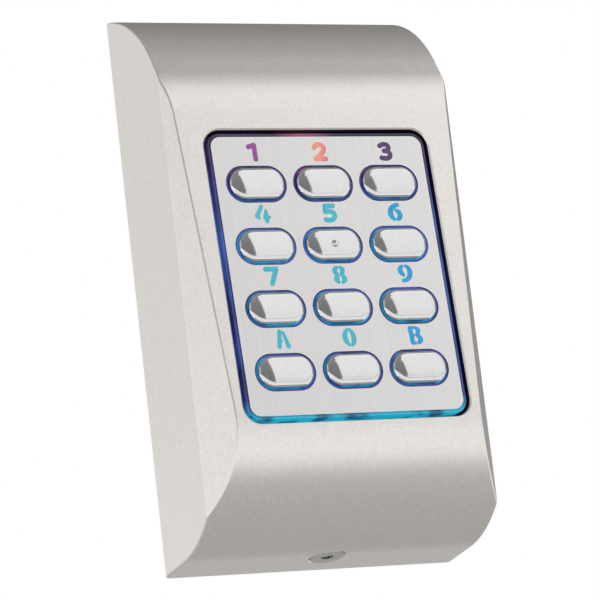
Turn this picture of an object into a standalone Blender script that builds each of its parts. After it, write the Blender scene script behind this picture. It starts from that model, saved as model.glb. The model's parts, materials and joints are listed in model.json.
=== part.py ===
"""Keypad access reader: a cast housing hooked on a steel wall plate, with a lit twelve-key face.

World frame: metres, +X right, +Z up, the face looks along -Y and the wall is the plane y = 0.
The origin is the centre of the back, on the wall.
The keypad stack is drawn in the face frame: x right, y up the face, z out of the face, with
its origin on the housing's front face at the centre of the key grid.
"""

import math

import bmesh
import bpy
from mathutils import Matrix, Vector

MM = 0.001

# Housing, overall
HEIGHT = 93.2 * MM
WIDTH = 52.0 * MM
DEPTH = 25.0 * MM
FACE_TILT = math.radians(4.9)  # the face leans back, so it looks slightly upwards
BOTTOM_SLOPE = math.radians(8.5)  # the underside rises away from the wall
TOP_SLOPE = math.radians(8.5)  # the top falls away from the wall
SHOULDER_SLOPE = math.radians(31.0)  # lean of the shoulder above the face, from vertical
SHOULDER_DROP = 17.0 * MM  # the shoulder starts this far below the top
CHIN_RADIUS = 20.0 * MM
SHOULDER_RADIUS = 18.0 * MM
CROWN_RADIUS = 23.0 * MM
CORNER_RADIUS = 1.0 * MM  # the four corners, seen from the front
RIDGE_DEPTH = 18.9 * MM  # the side bevels start at this distance from the wall
BEVEL_ANGLE = math.radians(34.6)  # between a side and its bevel
WALL = 2.4 * MM
RIM = 1.6 * MM  # wall left around the recess that takes the wall plate

# Clearances
REST_GAP = 0.3 * MM  # between stacked pieces
SLIP_GAP = 0.2 * MM  # around pieces that slide or sit in an opening

# Keypad face
BORDER = 7.0 * MM  # side of the housing to side of the face plate
FACE_CENTRE_DROP = 2.2 * MM  # key grid's centre, below the middle of the housing
FACE_TOP_BORDER = 25.0 * MM  # top of the housing to top of the face plate
FACE_BOTTOM_BORDER = 21.5 * MM
PLATE_THICKNESS = 0.8 * MM
PLATE_RECESS = 0.2 * MM
PLATE_CORNER = 1.8 * MM
PLATE_SIDE_MARGIN = 1.7 * MM  # edge of the plate to the nearest key opening
PLATE_TOP_MARGIN = 0.7 * MM
PLATE_BOTTOM_MARGIN = 4.0 * MM
OPENING_GAP = 1.2 * MM  # between neighbouring key openings of a row
LABEL_BAND = 4.25 * MM  # height above each key opening that holds its character
GUIDE_RIM = 0.8 * MM  # lit border round the face plate
GUIDE_THICKNESS = 1.5 * MM
LEDGE = 1.6 * MM  # shelf in the pocket that carries the light guide
POCKET_WALL = 1.5 * MM

# Keys
ROWS = 4
COLUMNS = 3
KEY_NAMES = ("1", "2", "3", "4", "5", "6", "7", "8", "9", "A", "0", "B")
KEY_GAP = 0.42 * MM  # lit ring round each key cap
KEY_RISE = 0.35 * MM  # edge of the cap above the face plate
KEY_CROWN = 0.6 * MM  # dome of the cap above its edge
KEY_TRAVEL = 0.8 * MM
FLANGE_WIDTH = 0.65 * MM
FLANGE_THICKNESS = 0.6 * MM
PLUNGER_RADIUS = 1.9 * MM

# Keymat and circuit board
KEYMAT_THICKNESS = 1.0 * MM
KEYMAT_MARGIN = 3.2 * MM  # beyond the outermost key openings
WEB_GAP = 0.4 * MM  # round each plunger
LED_SIZE = (2.0 * MM, 1.3 * MM, 0.8 * MM)
PCB_THICKNESS = 1.6 * MM
PCB_SIDE_CLEARANCE = 2.0 * MM
PCB_TOP_DROP = 12.8 * MM  # inside of the top wall to top of the board
PCB_BOTTOM_RISE = 10.6 * MM  # inside of the bottom wall to bottom of the board
PCB_CORNER = 2.0 * MM
PCB_SCREW_INSET = 3.8 * MM
BOSS_RADIUS = 2.8 * MM
PCB_SCREW_RADIUS = 1.2 * MM
PCB_SCREW_LENGTH = 4.2 * MM
PCB_SCREW_HEAD = (2.2 * MM, 1.6 * MM)  # radius, height

# Wall plate
PLATE_STEEL = 1.5 * MM
GASKET = (1.2 * MM, 1.1 * MM)  # width, thickness
SLOT = (9.0 * MM, 5.0 * MM)
SLOT_OFFSET = 28.0 * MM
CABLE_DROP = 12.5 * MM  # cable opening below the middle of the housing
GROMMET_HOLE = 4.0 * MM
GROMMET_NECK = 6.4 * MM
GROMMET_FLANGE = 8.6 * MM
GROMMET_LIP = 1.4 * MM
HOOK_WIDTH = 12.0 * MM
HOOK_REACH = 4.4 * MM
HOOK_LIP = 1.4 * MM
HOOK_STEEL = 1.2 * MM

# Security screw under the housing
SCREW_FROM_WALL = 6.8 * MM
SCREW_RADIUS = 1.5 * MM
SCREW_HEAD_RADIUS = 2.9 * MM
SCREW_HEAD_HEIGHT = 1.4 * MM
SCREW_LENGTH = 8.6 * MM
SCREW_DRIVE = (1.1 * MM, 1.0 * MM)  # radius, depth
SCREW_PAD = (5.0 * MM, 3.6 * MM)  # radius, height of the boss inside the housing
TAB_WIDTH = 12.0 * MM
NUT = (2.9 * MM, 2.2 * MM)  # radius over corners, thickness

# Parts on the back of the board: sizes are across, up and out
TERMINAL = (20.0 * MM, 7.6 * MM, 8.4 * MM)
TERMINAL_WAYS = 5
BUZZER = (5.5 * MM, 5.0 * MM)
CAPACITOR = (3.15 * MM, 7.0 * MM)
CONTROLLER = (7.0 * MM, 7.0 * MM, 1.2 * MM)
REGULATOR = (6.5 * MM, 6.0 * MM, 2.3 * MM)
TAMPER = (6.0 * MM, 6.0 * MM, 4.6 * MM)
TAMPER_PLUNGER_RADIUS = 1.3 * MM
TAMPER_TRAVEL = 1.0 * MM

ARC_STEP = math.radians(12.0)
FAR = 6.0 * MM  # how far a cutter runs past what it cuts


# ---------------------------------------------------------------- outlines

def meet(first, second):
    """Point where two lines (angle of the outward normal, distance from the origin) cross."""
    (a, c), (b, e) = first, second
    turn = math.sin(b - a)
    x = (c * math.sin(b) - e * math.sin(a)) / turn
    y = (e * math.cos(a) - c * math.cos(b)) / turn
    return x, y


def lined_outline(lines, radii, inset=0.0, step=ARC_STEP):
    """Closed convex outline bounded by lines, given counter-clockwise.

    Each corner, between a line and the next one, is rounded to its radius. With an inset
    the whole outline moves inwards and its rounded corners keep their centres.
    """
    points = []
    for i, line in enumerate(lines):
        following = lines[(i + 1) % len(lines)]
        radius = max(radii[i] - inset, 0.0)
        pull = inset + radius
        centre = meet((line[0], line[1] - pull), (following[0], following[1] - pull))
        sweep = (following[0] - line[0]) % math.tau
        count = max(1, math.ceil(sweep / step)) if radius else 0
        for k in range(count + 1):
            angle = line[0] + (sweep * k / count if count else 0.0)
            points.append((centre[0] + radius * math.cos(angle),
                           centre[1] + radius * math.sin(angle)))
            if not count:
                break
    return points


def rectangle(width, height, radius=0.0, step=ARC_STEP):
    """Rectangle centred on the origin, with rounded corners."""
    lines = [(0.0, width / 2), (math.pi / 2, height / 2),
             (math.pi, width / 2), (-math.pi / 2, height / 2)]
    return lined_outline(lines, [radius] * 4, step=step)


def stadium(width, height, step=math.radians(22.5)):
    """Slot shape: a rectangle with fully rounded short sides."""
    nearly_half = 0.4995
    return rectangle(width, height, min(width, height) * nearly_half, step)


def circle(radius, count=24):
    return [(radius * math.cos(math.tau * k / count), radius * math.sin(math.tau * k / count))
            for k in range(count)]


def moved(points, dx, dy):
    return [(x + dx, y + dy) for x, y in points]


def face_line():
    """The housing's front face as a line in (distance from the wall, height)."""
    chin_d = DEPTH - CHIN_RADIUS
    drop = HEIGHT / 2 * math.cos(BOTTOM_SLOPE)
    chin_z = (chin_d * math.sin(BOTTOM_SLOPE) + CHIN_RADIUS - drop) / math.cos(BOTTOM_SLOPE)
    offset = (chin_d * math.cos(FACE_TILT) + chin_z * math.sin(FACE_TILT) + CHIN_RADIUS)
    return FACE_TILT, offset


def face_depth(height):
    """Distance from the wall of the front face at a height."""
    angle, offset = face_line()
    return (offset - height * math.sin(angle)) / math.cos(angle)


def shoulder_line():
    """The slope between the front face and the top, as a line like the front face's."""
    height = HEIGHT / 2 - SHOULDER_DROP
    offset = (face_depth(height) * math.cos(SHOULDER_SLOPE) + height * math.sin(SHOULDER_SLOPE))
    return SHOULDER_SLOPE, offset


def top_line():
    """The top of the housing, as a line like the front face's."""
    return math.pi / 2 - TOP_SLOPE, HEIGHT / 2 * math.cos(TOP_SLOPE)


def ceiling(distance):
    """Height of the top wall's inner surface at a distance from the wall."""
    slope, shoulder = shoulder_line()
    angle, top = top_line()
    start, centre = meet((slope, shoulder - CROWN_RADIUS), (angle, top - CROWN_RADIUS))
    radius = CROWN_RADIUS - WALL
    if distance < start + radius * math.cos(angle):
        return (top - WALL - distance * math.cos(angle)) / math.sin(angle)
    return centre + math.sqrt(radius ** 2 - (distance - start) ** 2)


def profile(inset=0.0, back=0.0):
    """Side outline of the housing, as (distance from the wall, height)."""
    lines = [(BOTTOM_SLOPE - math.pi / 2, HEIGHT / 2 * math.cos(BOTTOM_SLOPE)),
             face_line(),
             shoulder_line(),
             top_line(),
             (math.pi, back + inset)]
    radii = [CHIN_RADIUS, SHOULDER_RADIUS, CROWN_RADIUS, 0.0, 0.0]
    return lined_outline(lines, radii, inset)


def section(inset=0.0):
    """Outline of the housing cut level, as (x, distance from the wall), with side bevels."""
    bevel_offset = (WIDTH / 2 * math.cos(BEVEL_ANGLE) + RIDGE_DEPTH * math.sin(BEVEL_ANGLE))
    lines = [(0.0, WIDTH / 2),
             (BEVEL_ANGLE, bevel_offset),
             (math.pi / 2, DEPTH + FAR),
             (math.pi - BEVEL_ANGLE, bevel_offset),
             (math.pi, WIDTH / 2),
             (-math.pi / 2, FAR + inset)]
    return lined_outline(lines, [0.0] * 6, inset)


# ---------------------------------------------------------------- materials and objects

def material(name, colour, roughness, metallic=0.0):
    made = bpy.data.materials.new(name)
    made.use_nodes = True
    shader = made.node_tree.nodes["Principled BSDF"]
    shader.inputs["Base Color"].default_value = (*colour, 1.0)
    shader.inputs["Roughness"].default_value = roughness
    shader.inputs["Metallic"].default_value = metallic
    return made


def make_materials():
    return {
        "housing": material("housing", (0.78, 0.77, 0.75), 0.4, 0.6),
        "steel": material("steel", (0.66, 0.65, 0.63), 0.35, 1.0),
        "chrome": material("chrome", (0.82, 0.83, 0.85), 0.08, 1.0),
        "guide": material("guide", (0.15, 0.45, 0.75), 0.25),
        "silicone": material("silicone", (0.75, 0.78, 0.8), 0.6),
        "rubber": material("rubber", (0.03, 0.03, 0.03), 0.8),
        "board": material("board", (0.02, 0.16, 0.07), 0.45),
        "chip": material("chip", (0.03, 0.03, 0.035), 0.5),
        "lamp": material("lamp", (0.9, 0.88, 0.75), 0.3),
        "terminal": material("terminal", (0.05, 0.35, 0.2), 0.4),
        "can": material("can", (0.72, 0.73, 0.75), 0.3, 1.0),
        "brass": material("brass", (0.7, 0.52, 0.25), 0.3, 1.0),
    }


def finish_mesh(name, mesh_data, surface, parent=None, place=Matrix()):
    """Turn a bmesh into a named object; without a surface it is a hidden cutter."""
    bmesh.ops.recalc_face_normals(mesh_data, faces=mesh_data.faces)
    mesh = bpy.data.meshes.new(name)
    mesh_data.to_mesh(mesh)
    mesh_data.free()
    mesh.shade_smooth()
    mesh.set_sharp_from_angle(angle=math.radians(30.0))
    piece = bpy.data.objects.new(name, mesh)
    bpy.context.scene.collection.objects.link(piece)
    piece.parent = parent
    piece.matrix_local = place
    if surface is None:
        piece.hide_render = True
        piece.display_type = "WIRE"
    else:
        mesh.materials.append(surface)
    return piece


def prism(name, outline, low, high, surface=None, parent=None, place=Matrix()):
    """Outline in local x and y, extruded in z from low to high."""
    data = bmesh.new()
    base = data.faces.new([data.verts.new((x, y, low)) for x, y in outline])
    grown = bmesh.ops.extrude_face_region(data, geom=[base])
    tops = [item for item in grown["geom"] if isinstance(item, bmesh.types.BMVert)]
    bmesh.ops.translate(data, verts=tops, vec=(0.0, 0.0, high - low))
    return finish_mesh(name, data, surface, parent, place)


def stacked(name, layers, surface=None, parent=None, place=Matrix()):
    """Solid through outlines of equal point count, given as (outline, z), lowest first."""
    data = bmesh.new()
    rings = [[data.verts.new((x, y, z)) for x, y in outline] for outline, z in layers]
    for lower, upper in zip(rings, rings[1:]):
        for k in range(len(lower)):
            after = (k + 1) % len(lower)
            data.faces.new((lower[k], lower[after], upper[after], upper[k]))
    data.faces.new(list(reversed(rings[0])))
    data.faces.new(rings[-1])
    return finish_mesh(name, data, surface, parent, place)


def turned(name, profile_points, surface=None, parent=None, place=Matrix(), count=24):
    """Solid of revolution about local z through (radius, z) points, lowest first."""
    layers = [(circle(radius, count), z) for radius, z in profile_points]
    return stacked(name, layers, surface, parent, place)


def ring(name, profile_points, surface, parent=None, place=Matrix(), count=24):
    """Turned solid with an open middle: a closed loop of (radius, z) points."""
    data = bmesh.new()
    loops = [[data.verts.new((x, y, z)) for x, y in circle(radius, count)]
             for radius, z in profile_points]
    for current, following in zip(loops, loops[1:] + loops[:1]):
        for k in range(count):
            after = (k + 1) % count
            data.faces.new((current[k], current[after], following[after], following[k]))
    return finish_mesh(name, data, surface, parent, place)


def box(name, size, centre, surface=None, parent=None):
    """Box of a size (x, y, z) about a centre."""
    half = size[2] / 2
    place = Matrix.Translation(Vector(centre))
    return prism(name, rectangle(size[0], size[1]), -half, half, surface, parent, place)


def modify(target, tool, operation):
    step = target.modifiers.new(tool.name, "BOOLEAN")
    step.operation = operation
    step.object = tool


def cut(target, *tools):
    for tool in tools:
        modify(target, tool, "DIFFERENCE")


def join(target, *tools):
    for tool in tools:
        modify(target, tool, "UNION")


def keep_common(target, *tools):
    for tool in tools:
        modify(target, tool, "INTERSECT")


def frame(name, place):
    """Empty that carries a group of pieces."""
    empty = bpy.data.objects.new(name, None)
    empty.matrix_world = place
    bpy.context.scene.collection.objects.link(empty)
    return empty


# ---------------------------------------------------------------- derived sizes

GRID_Z = -FACE_CENTRE_DROP

# Levels through the keypad stack, along the face frame's z, from the front inwards
PLATE_FACE = -PLATE_RECESS
PLATE_BACK = PLATE_FACE - PLATE_THICKNESS
GUIDE_FACE = PLATE_BACK - SLIP_GAP
GUIDE_BACK = GUIDE_FACE - GUIDE_THICKNESS
POCKET_FLOOR = GUIDE_BACK - REST_GAP
FLANGE_FACE = GUIDE_BACK - SLIP_GAP / 2
FLANGE_BACK = FLANGE_FACE - FLANGE_THICKNESS
KEYMAT_FACE = FLANGE_BACK - KEY_TRAVEL - REST_GAP - SLIP_GAP
LEDGE_BACK = KEYMAT_FACE + REST_GAP
KEYMAT_BACK = KEYMAT_FACE - KEYMAT_THICKNESS
PCB_FACE = KEYMAT_BACK - REST_GAP
PCB_BACK = PCB_FACE - PCB_THICKNESS
PLUNGER_FACE = FLANGE_BACK - SLIP_GAP / 2
PLUNGER_TIP = PCB_FACE + KEY_TRAVEL + REST_GAP
PARTS_FACE = PCB_BACK - SLIP_GAP

# Face plate and key grid, in the face frame
PLATE_WIDTH = WIDTH - 2 * BORDER
PLATE_TOP = (HEIGHT / 2 - FACE_TOP_BORDER - GRID_Z) / math.cos(FACE_TILT)
PLATE_BOTTOM = (-HEIGHT / 2 + FACE_BOTTOM_BORDER - GRID_Z) / math.cos(FACE_TILT)
PLATE_HEIGHT = PLATE_TOP - PLATE_BOTTOM
PLATE_MIDDLE = (PLATE_TOP + PLATE_BOTTOM) / 2
PITCH_Y = (PLATE_HEIGHT - PLATE_TOP_MARGIN - PLATE_BOTTOM_MARGIN) / ROWS
OPENING_HEIGHT = PITCH_Y - LABEL_BAND
OPENING_WIDTH = (PLATE_WIDTH - 2 * PLATE_SIDE_MARGIN
                 - (COLUMNS - 1) * OPENING_GAP) / COLUMNS
PITCH_X = OPENING_WIDTH + OPENING_GAP
LOWEST_ROW = PLATE_BOTTOM + PLATE_BOTTOM_MARGIN + OPENING_HEIGHT / 2
KEY_WIDTH = OPENING_WIDTH - 2 * KEY_GAP
KEY_HEIGHT = OPENING_HEIGHT - 2 * KEY_GAP
POCKET_MARGIN = GUIDE_RIM + 2 * SLIP_GAP  # plate's edge to the pocket's wall
GRID_WIDTH = (COLUMNS - 1) * PITCH_X + OPENING_WIDTH
GRID_HEIGHT = (ROWS - 1) * PITCH_Y + OPENING_HEIGHT
GRID_MIDDLE = LOWEST_ROW + (ROWS - 1) * PITCH_Y / 2
PCB_TOP = (HEIGHT / 2 - WALL - PCB_TOP_DROP - GRID_Z) / math.cos(FACE_TILT)
PCB_BOTTOM = (-HEIGHT / 2 + WALL + PCB_BOTTOM_RISE - GRID_Z) / math.cos(FACE_TILT)
PCB_WIDTH = WIDTH - 2 * (WALL + PCB_SIDE_CLEARANCE)
RECESS_DEPTH = PLATE_STEEL + GASKET[1] + 2 * REST_GAP  # takes the wall plate and its gasket

# Hook of the wall plate: distance of its end from the wall, and top of its arm
HOOK_END = PLATE_STEEL + HOOK_REACH
HOOK_TOP = ceiling(HOOK_END + REST_GAP) - REST_GAP


def key_places():
    """Name and (x, y) of every key in the face frame, in reading order."""
    for index, name in enumerate(KEY_NAMES):
        row, column = divmod(index, COLUMNS)
        x = (column - (COLUMNS - 1) / 2) * PITCH_X
        y = LOWEST_ROW + (ROWS - 1 - row) * PITCH_Y
        yield name, x, y


def lamp_places():
    """Lamps stand between the key columns, level with the gaps between rows and in the middle."""
    for row in range(ROWS - 1):
        for side in range(COLUMNS - 1):
            x = (side - (COLUMNS - 2) / 2) * PITCH_X
            y = LOWEST_ROW + (row + 0.5) * PITCH_Y
            yield x, y


def pcb_screw_places():
    for x in (-1, 1):
        for y in (PCB_BOTTOM + PCB_SCREW_INSET, PCB_TOP - PCB_SCREW_INSET):
            yield x * (PCB_WIDTH / 2 - PCB_SCREW_INSET), y


def face_frame_place():
    place = Matrix.Translation((0.0, -face_depth(GRID_Z), GRID_Z))
    return place @ Matrix.Rotation(math.pi / 2 - FACE_TILT, 4, "X")


def screw_frame_place():
    """Frame of the security screw: z points out of the underside, y away from the wall."""
    height = -HEIGHT / 2 + SCREW_FROM_WALL * math.tan(BOTTOM_SLOPE)
    place = Matrix.Translation((0.0, -SCREW_FROM_WALL, height))
    return place @ Matrix.Rotation(math.pi - BOTTOM_SLOPE, 4, "X")


# ---------------------------------------------------------------- housing

ALONG_X = Matrix(((0, 0, 1, 0), (-1, 0, 0, 0), (0, 1, 0, 0), (0, 0, 0, 1)))
UPRIGHT = Matrix(((1, 0, 0, 0), (0, -1, 0, 0), (0, 0, 1, 0), (0, 0, 0, 1)))
FROM_WALL = Matrix(((1, 0, 0, 0), (0, 0, -1, 0), (0, 1, 0, 0), (0, 0, 0, 1)))


def body(name, inset, back, surface=None):
    """Housing's outer form, or its inner form at an inset: side profile by level section."""
    half_width = WIDTH / 2 + FAR
    half_height = HEIGHT / 2 + FAR
    shape = prism(name, profile(inset, back), -half_width, half_width, surface, place=ALONG_X)
    level = prism(name + "_section", section(inset), -half_height, half_height, place=UPRIGHT)
    keep_common(shape, level)
    return shape


def corner_trim():
    """Rounds the housing's corners seen from the front; a hair wider than its flat sides."""
    hair = 0.02 * MM
    outline = rectangle(WIDTH + 2 * hair, HEIGHT + 2 * hair, CORNER_RADIUS, math.radians(30.0))
    return prism("corner_trim", outline, -FAR, DEPTH + FAR, place=FROM_WALL)


def housing_cavity(face, screw):
    """Space inside the housing, leaving the pocket's wall, the board's bosses and screw pad."""
    cavity = body("cavity", WALL, FAR)
    block = prism("pocket_block",
                  moved(rectangle(PLATE_WIDTH + 2 * (POCKET_MARGIN + POCKET_WALL),
                                  PLATE_HEIGHT + 2 * (POCKET_MARGIN + POCKET_WALL)),
                        0.0, PLATE_MIDDLE),
                  LEDGE_BACK, FAR, parent=face)
    cut(cavity, block)
    for index, (x, y) in enumerate(pcb_screw_places()):
        boss = prism(f"boss_{index + 1}", moved(circle(BOSS_RADIUS, 16), x, y),
                     PCB_FACE + REST_GAP, FAR, parent=face)
        cut(cavity, boss)
    pad = prism("screw_pad", circle(SCREW_PAD[0], 24), -SCREW_PAD[1], FAR, parent=screw)
    cut(cavity, pad)
    return cavity


def plate_recess():
    """Recess at the back that takes the wall plate and its gasket."""
    outline = rectangle(WIDTH - 2 * RIM, HEIGHT - 2 * RIM, CORNER_RADIUS, math.radians(30.0))
    return prism("plate_recess", outline, -FAR, RECESS_DEPTH, place=FROM_WALL)


def face_pocket(face):
    """Pocket for the light guide and face plate, and the window behind it."""
    wide = PLATE_WIDTH + 2 * POCKET_MARGIN
    tall = PLATE_HEIGHT + 2 * POCKET_MARGIN
    pocket = prism("pocket",
                   moved(rectangle(wide, tall, PLATE_CORNER + POCKET_MARGIN), 0.0, PLATE_MIDDLE),
                   POCKET_FLOOR, FAR, parent=face)
    window = prism("window",
                   moved(rectangle(wide - 2 * LEDGE, tall - 2 * LEDGE, PLATE_CORNER),
                         0.0, PLATE_MIDDLE),
                   LEDGE_BACK - FAR, (POCKET_FLOOR + PLATE_FACE) / 2, parent=face)
    return pocket, window


def screw_sink(screw):
    """Countersunk hole of the security screw."""
    head = SCREW_HEAD_RADIUS + SLIP_GAP
    shank = SCREW_RADIUS + SLIP_GAP
    depth = SCREW_HEAD_HEIGHT + SLIP_GAP
    return turned("screw_sink",
                  [(shank, -SCREW_PAD[1] - FAR), (shank, -depth), (head, 0.0), (head, FAR)],
                  parent=screw)


def hook_pocket():
    """Undercut in the housing's top wall that the wall plate's hook catches."""
    size = (HOOK_WIDTH + 4 * REST_GAP, HOOK_STEEL + 2 * REST_GAP, HOOK_LIP + 2 * REST_GAP)
    centre = (0.0, -(HOOK_END - HOOK_STEEL / 2), HOOK_TOP + HOOK_LIP + REST_GAP - size[2] / 2)
    return box("hook_pocket", size, centre)


def make_housing(face, screw, paint):
    housing = body("housing", 0.0, 0.0, paint)
    keep_common(housing, corner_trim())
    cut(housing, housing_cavity(face, screw), plate_recess(), *face_pocket(face))
    for index, (x, y) in enumerate(pcb_screw_places()):
        hole = prism(f"boss_hole_{index + 1}",
                     moved(circle(PCB_SCREW_RADIUS + SLIP_GAP, 12), x, y),
                     PCB_FACE - REST_GAP,
                     PCB_BACK + PCB_SCREW_LENGTH + REST_GAP, parent=face)
        cut(housing, hole)
    cut(housing, screw_sink(screw), hook_pocket())
    return housing


# ---------------------------------------------------------------- wall side

def make_back_plate(screw, steel):
    """Steel wall plate: slots for wall screws, cable opening, top hook and screw tab."""
    wide = WIDTH - 2 * (RIM + REST_GAP)
    tall = HEIGHT - 2 * (RIM + REST_GAP)
    plate = prism("back_plate", rectangle(wide, tall, CORNER_RADIUS, math.radians(30.0)),
                  0.0, PLATE_STEEL, steel, place=FROM_WALL)
    arm_start = PLATE_STEEL / 2
    arm = box("hook_arm", (HOOK_WIDTH, HOOK_END - arm_start, HOOK_STEEL),
              (0.0, -(HOOK_END + arm_start) / 2, HOOK_TOP - HOOK_STEEL / 2))
    lip_low = HOOK_TOP - HOOK_STEEL / 2
    lip_high = HOOK_TOP + HOOK_LIP
    lip = box("hook_lip", (HOOK_WIDTH - REST_GAP, HOOK_STEEL * 0.9, lip_high - lip_low),
              (0.0, -(HOOK_END - HOOK_STEEL / 2), (lip_low + lip_high) / 2))
    join(plate, arm, lip)
    tab_reach = SCREW_FROM_WALL - PLATE_STEEL / 2
    tab_length = tab_reach + SCREW_HEAD_RADIUS + SCREW_RADIUS
    tab_centre = tab_length / 2 - tab_reach
    tab_face = -(SCREW_PAD[1] + REST_GAP)
    tab = prism("screw_tab", moved(rectangle(TAB_WIDTH, tab_length), 0.0, tab_centre),
                tab_face - PLATE_STEEL, tab_face, parent=screw)
    join(plate, tab)
    tab_hole = prism("tab_hole", circle(SCREW_RADIUS + SLIP_GAP, 16),
                     tab_face - PLATE_STEEL - REST_GAP, tab_face + REST_GAP, parent=screw)
    grommet_hole = prism("grommet_hole",
                         moved(circle(GROMMET_NECK + SLIP_GAP, 24), 0.0, -CABLE_DROP),
                         -FAR, PLATE_STEEL + FAR, place=FROM_WALL)
    cut(plate, tab_hole, grommet_hole)
    for name, height in (("upper_slot", SLOT_OFFSET), ("lower_slot", -SLOT_OFFSET)):
        cut(plate, prism(name, moved(stadium(SLOT[1], SLOT[0]), 0.0, height),
                         -FAR, PLATE_STEEL + FAR, place=FROM_WALL))
    return plate


def make_rear_gasket(rubber):
    """Foam gasket between the wall plate's edge and the step inside the housing."""
    wide = WIDTH - 2 * (RIM + REST_GAP)
    tall = HEIGHT - 2 * (RIM + REST_GAP)
    low = PLATE_STEEL + REST_GAP
    gasket = prism("rear_gasket", rectangle(wide, tall, CORNER_RADIUS, math.radians(30.0)),
                   low, low + GASKET[1], rubber, place=FROM_WALL)
    inner = rectangle(wide - 2 * GASKET[0], tall - 2 * GASKET[0], CORNER_RADIUS / 2,
                      math.radians(30.0))
    cut(gasket, prism("gasket_inside", inner, low - FAR / 4, low + GASKET[1] + FAR / 4,
                      place=FROM_WALL))
    return gasket


def make_cable_grommet(rubber):
    """Rubber grommet for the cable, snapped into the wall plate's opening."""
    front = PLATE_STEEL + REST_GAP
    taper = REST_GAP
    points = [(GROMMET_HOLE, REST_GAP), (GROMMET_NECK, REST_GAP), (GROMMET_NECK, front),
              (GROMMET_FLANGE, front), (GROMMET_FLANGE - taper, front + GROMMET_LIP),
              (GROMMET_HOLE, front + GROMMET_LIP)]
    place = Matrix.Translation((0.0, 0.0, -CABLE_DROP)) @ FROM_WALL
    return ring("cable_grommet", points, rubber, place=place)


def make_security_screw(screw, steel):
    """Countersunk screw with a recessed drive, its tip in the captive nut."""
    drive = prism("screw_drive", circle(SCREW_DRIVE[0], 6), -SCREW_DRIVE[1], FAR, parent=screw)
    piece = turned("security_screw",
                   [(SCREW_RADIUS * 0.7, -SCREW_LENGTH),
                    (SCREW_RADIUS, -SCREW_LENGTH + SCREW_RADIUS / 2),
                    (SCREW_RADIUS, -SCREW_HEAD_HEIGHT),
                    (SCREW_HEAD_RADIUS, -SLIP_GAP / 2),
                    (SCREW_HEAD_RADIUS, 0.0)],
                   steel, screw)
    cut(piece, drive)
    return piece


def make_captive_nut(screw, brass):
    """Hexagonal nut on the inner side of the wall plate's tab."""
    top = -(SCREW_PAD[1] + PLATE_STEEL + 2 * REST_GAP)
    nut = prism("captive_nut", circle(NUT[0], 6), top - NUT[1], top, brass, screw)
    cut(nut, prism("nut_thread", circle(SCREW_RADIUS + SLIP_GAP, 16), top - NUT[1] - FAR / 4,
                   top + FAR / 4, parent=screw))
    return nut


# ---------------------------------------------------------------- keypad face

def key_opening(name, x, y, low, high, face, slack=0.0):
    outline = stadium(OPENING_WIDTH + 2 * slack, OPENING_HEIGHT + 2 * slack)
    return prism(name, moved(outline, x, y), low, high, parent=face)


def make_face_plate(face, steel):
    outline = moved(rectangle(PLATE_WIDTH, PLATE_HEIGHT, PLATE_CORNER), 0.0, PLATE_MIDDLE)
    plate = prism("face_plate", outline, PLATE_BACK, PLATE_FACE, steel, face)
    for name, x, y in key_places():
        cut(plate, key_opening(f"plate_opening_{name}", x, y, PLATE_BACK - FAR / 4,
                               PLATE_FACE + FAR / 4, face))
    return plate


def make_light_guide(face, surface):
    """Clear sheet behind the face plate, with a rim that stands up round the plate."""
    inner_wide = PLATE_WIDTH + SLIP_GAP
    inner_tall = PLATE_HEIGHT + SLIP_GAP
    outer = rectangle(inner_wide + 2 * GUIDE_RIM, inner_tall + 2 * GUIDE_RIM,
                      PLATE_CORNER + GUIDE_RIM)
    rim_top = PLATE_FACE - SLIP_GAP / 2
    guide = prism("light_guide", moved(outer, 0.0, PLATE_MIDDLE), GUIDE_BACK, rim_top,
                  surface, face)
    tray = rectangle(inner_wide, inner_tall, PLATE_CORNER)
    cut(guide, prism("guide_tray", moved(tray, 0.0, PLATE_MIDDLE), GUIDE_FACE, FAR,
                     parent=face))
    for name, x, y in key_places():
        outline = stadium(KEY_WIDTH + 2 * SLIP_GAP, KEY_HEIGHT + 2 * SLIP_GAP)
        cut(guide, prism(f"guide_opening_{name}", moved(outline, x, y), GUIDE_BACK - FAR / 4,
                         (GUIDE_FACE + PLATE_FACE) / 2, parent=face))
    return guide


def make_key(name, x, y, face, chrome, silicone):
    """Domed metal cap with a retaining flange, and the silicone plunger under it."""
    place = Matrix.Translation((x, y, 0.0))
    edge = PLATE_FACE + KEY_RISE
    flange = stadium(KEY_WIDTH + 2 * FLANGE_WIDTH, KEY_HEIGHT + 2 * FLANGE_WIDTH)
    side = stadium(KEY_WIDTH, KEY_HEIGHT)
    layers = [(flange, FLANGE_BACK), (flange, FLANGE_FACE), (side, FLANGE_FACE), (side, edge)]
    for step in (0.3, 0.62, 0.85):
        shrink = 1.0 - step
        dome = stadium(KEY_WIDTH - 2 * KEY_HEIGHT / 2 * step * 0.8, KEY_HEIGHT * (1 - step * 0.8))
        layers.append((dome, edge + KEY_CROWN * (1.0 - shrink ** 2)))
    stacked(f"key_cap_{name}", layers, chrome, face, place)
    turned(f"key_plunger_{name}",
           [(PLUNGER_RADIUS * 0.7, PLUNGER_TIP), (PLUNGER_RADIUS, (PLUNGER_TIP + PLUNGER_FACE) / 2),
            (PLUNGER_RADIUS, PLUNGER_FACE)],
           silicone, face, place, 12)


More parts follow.
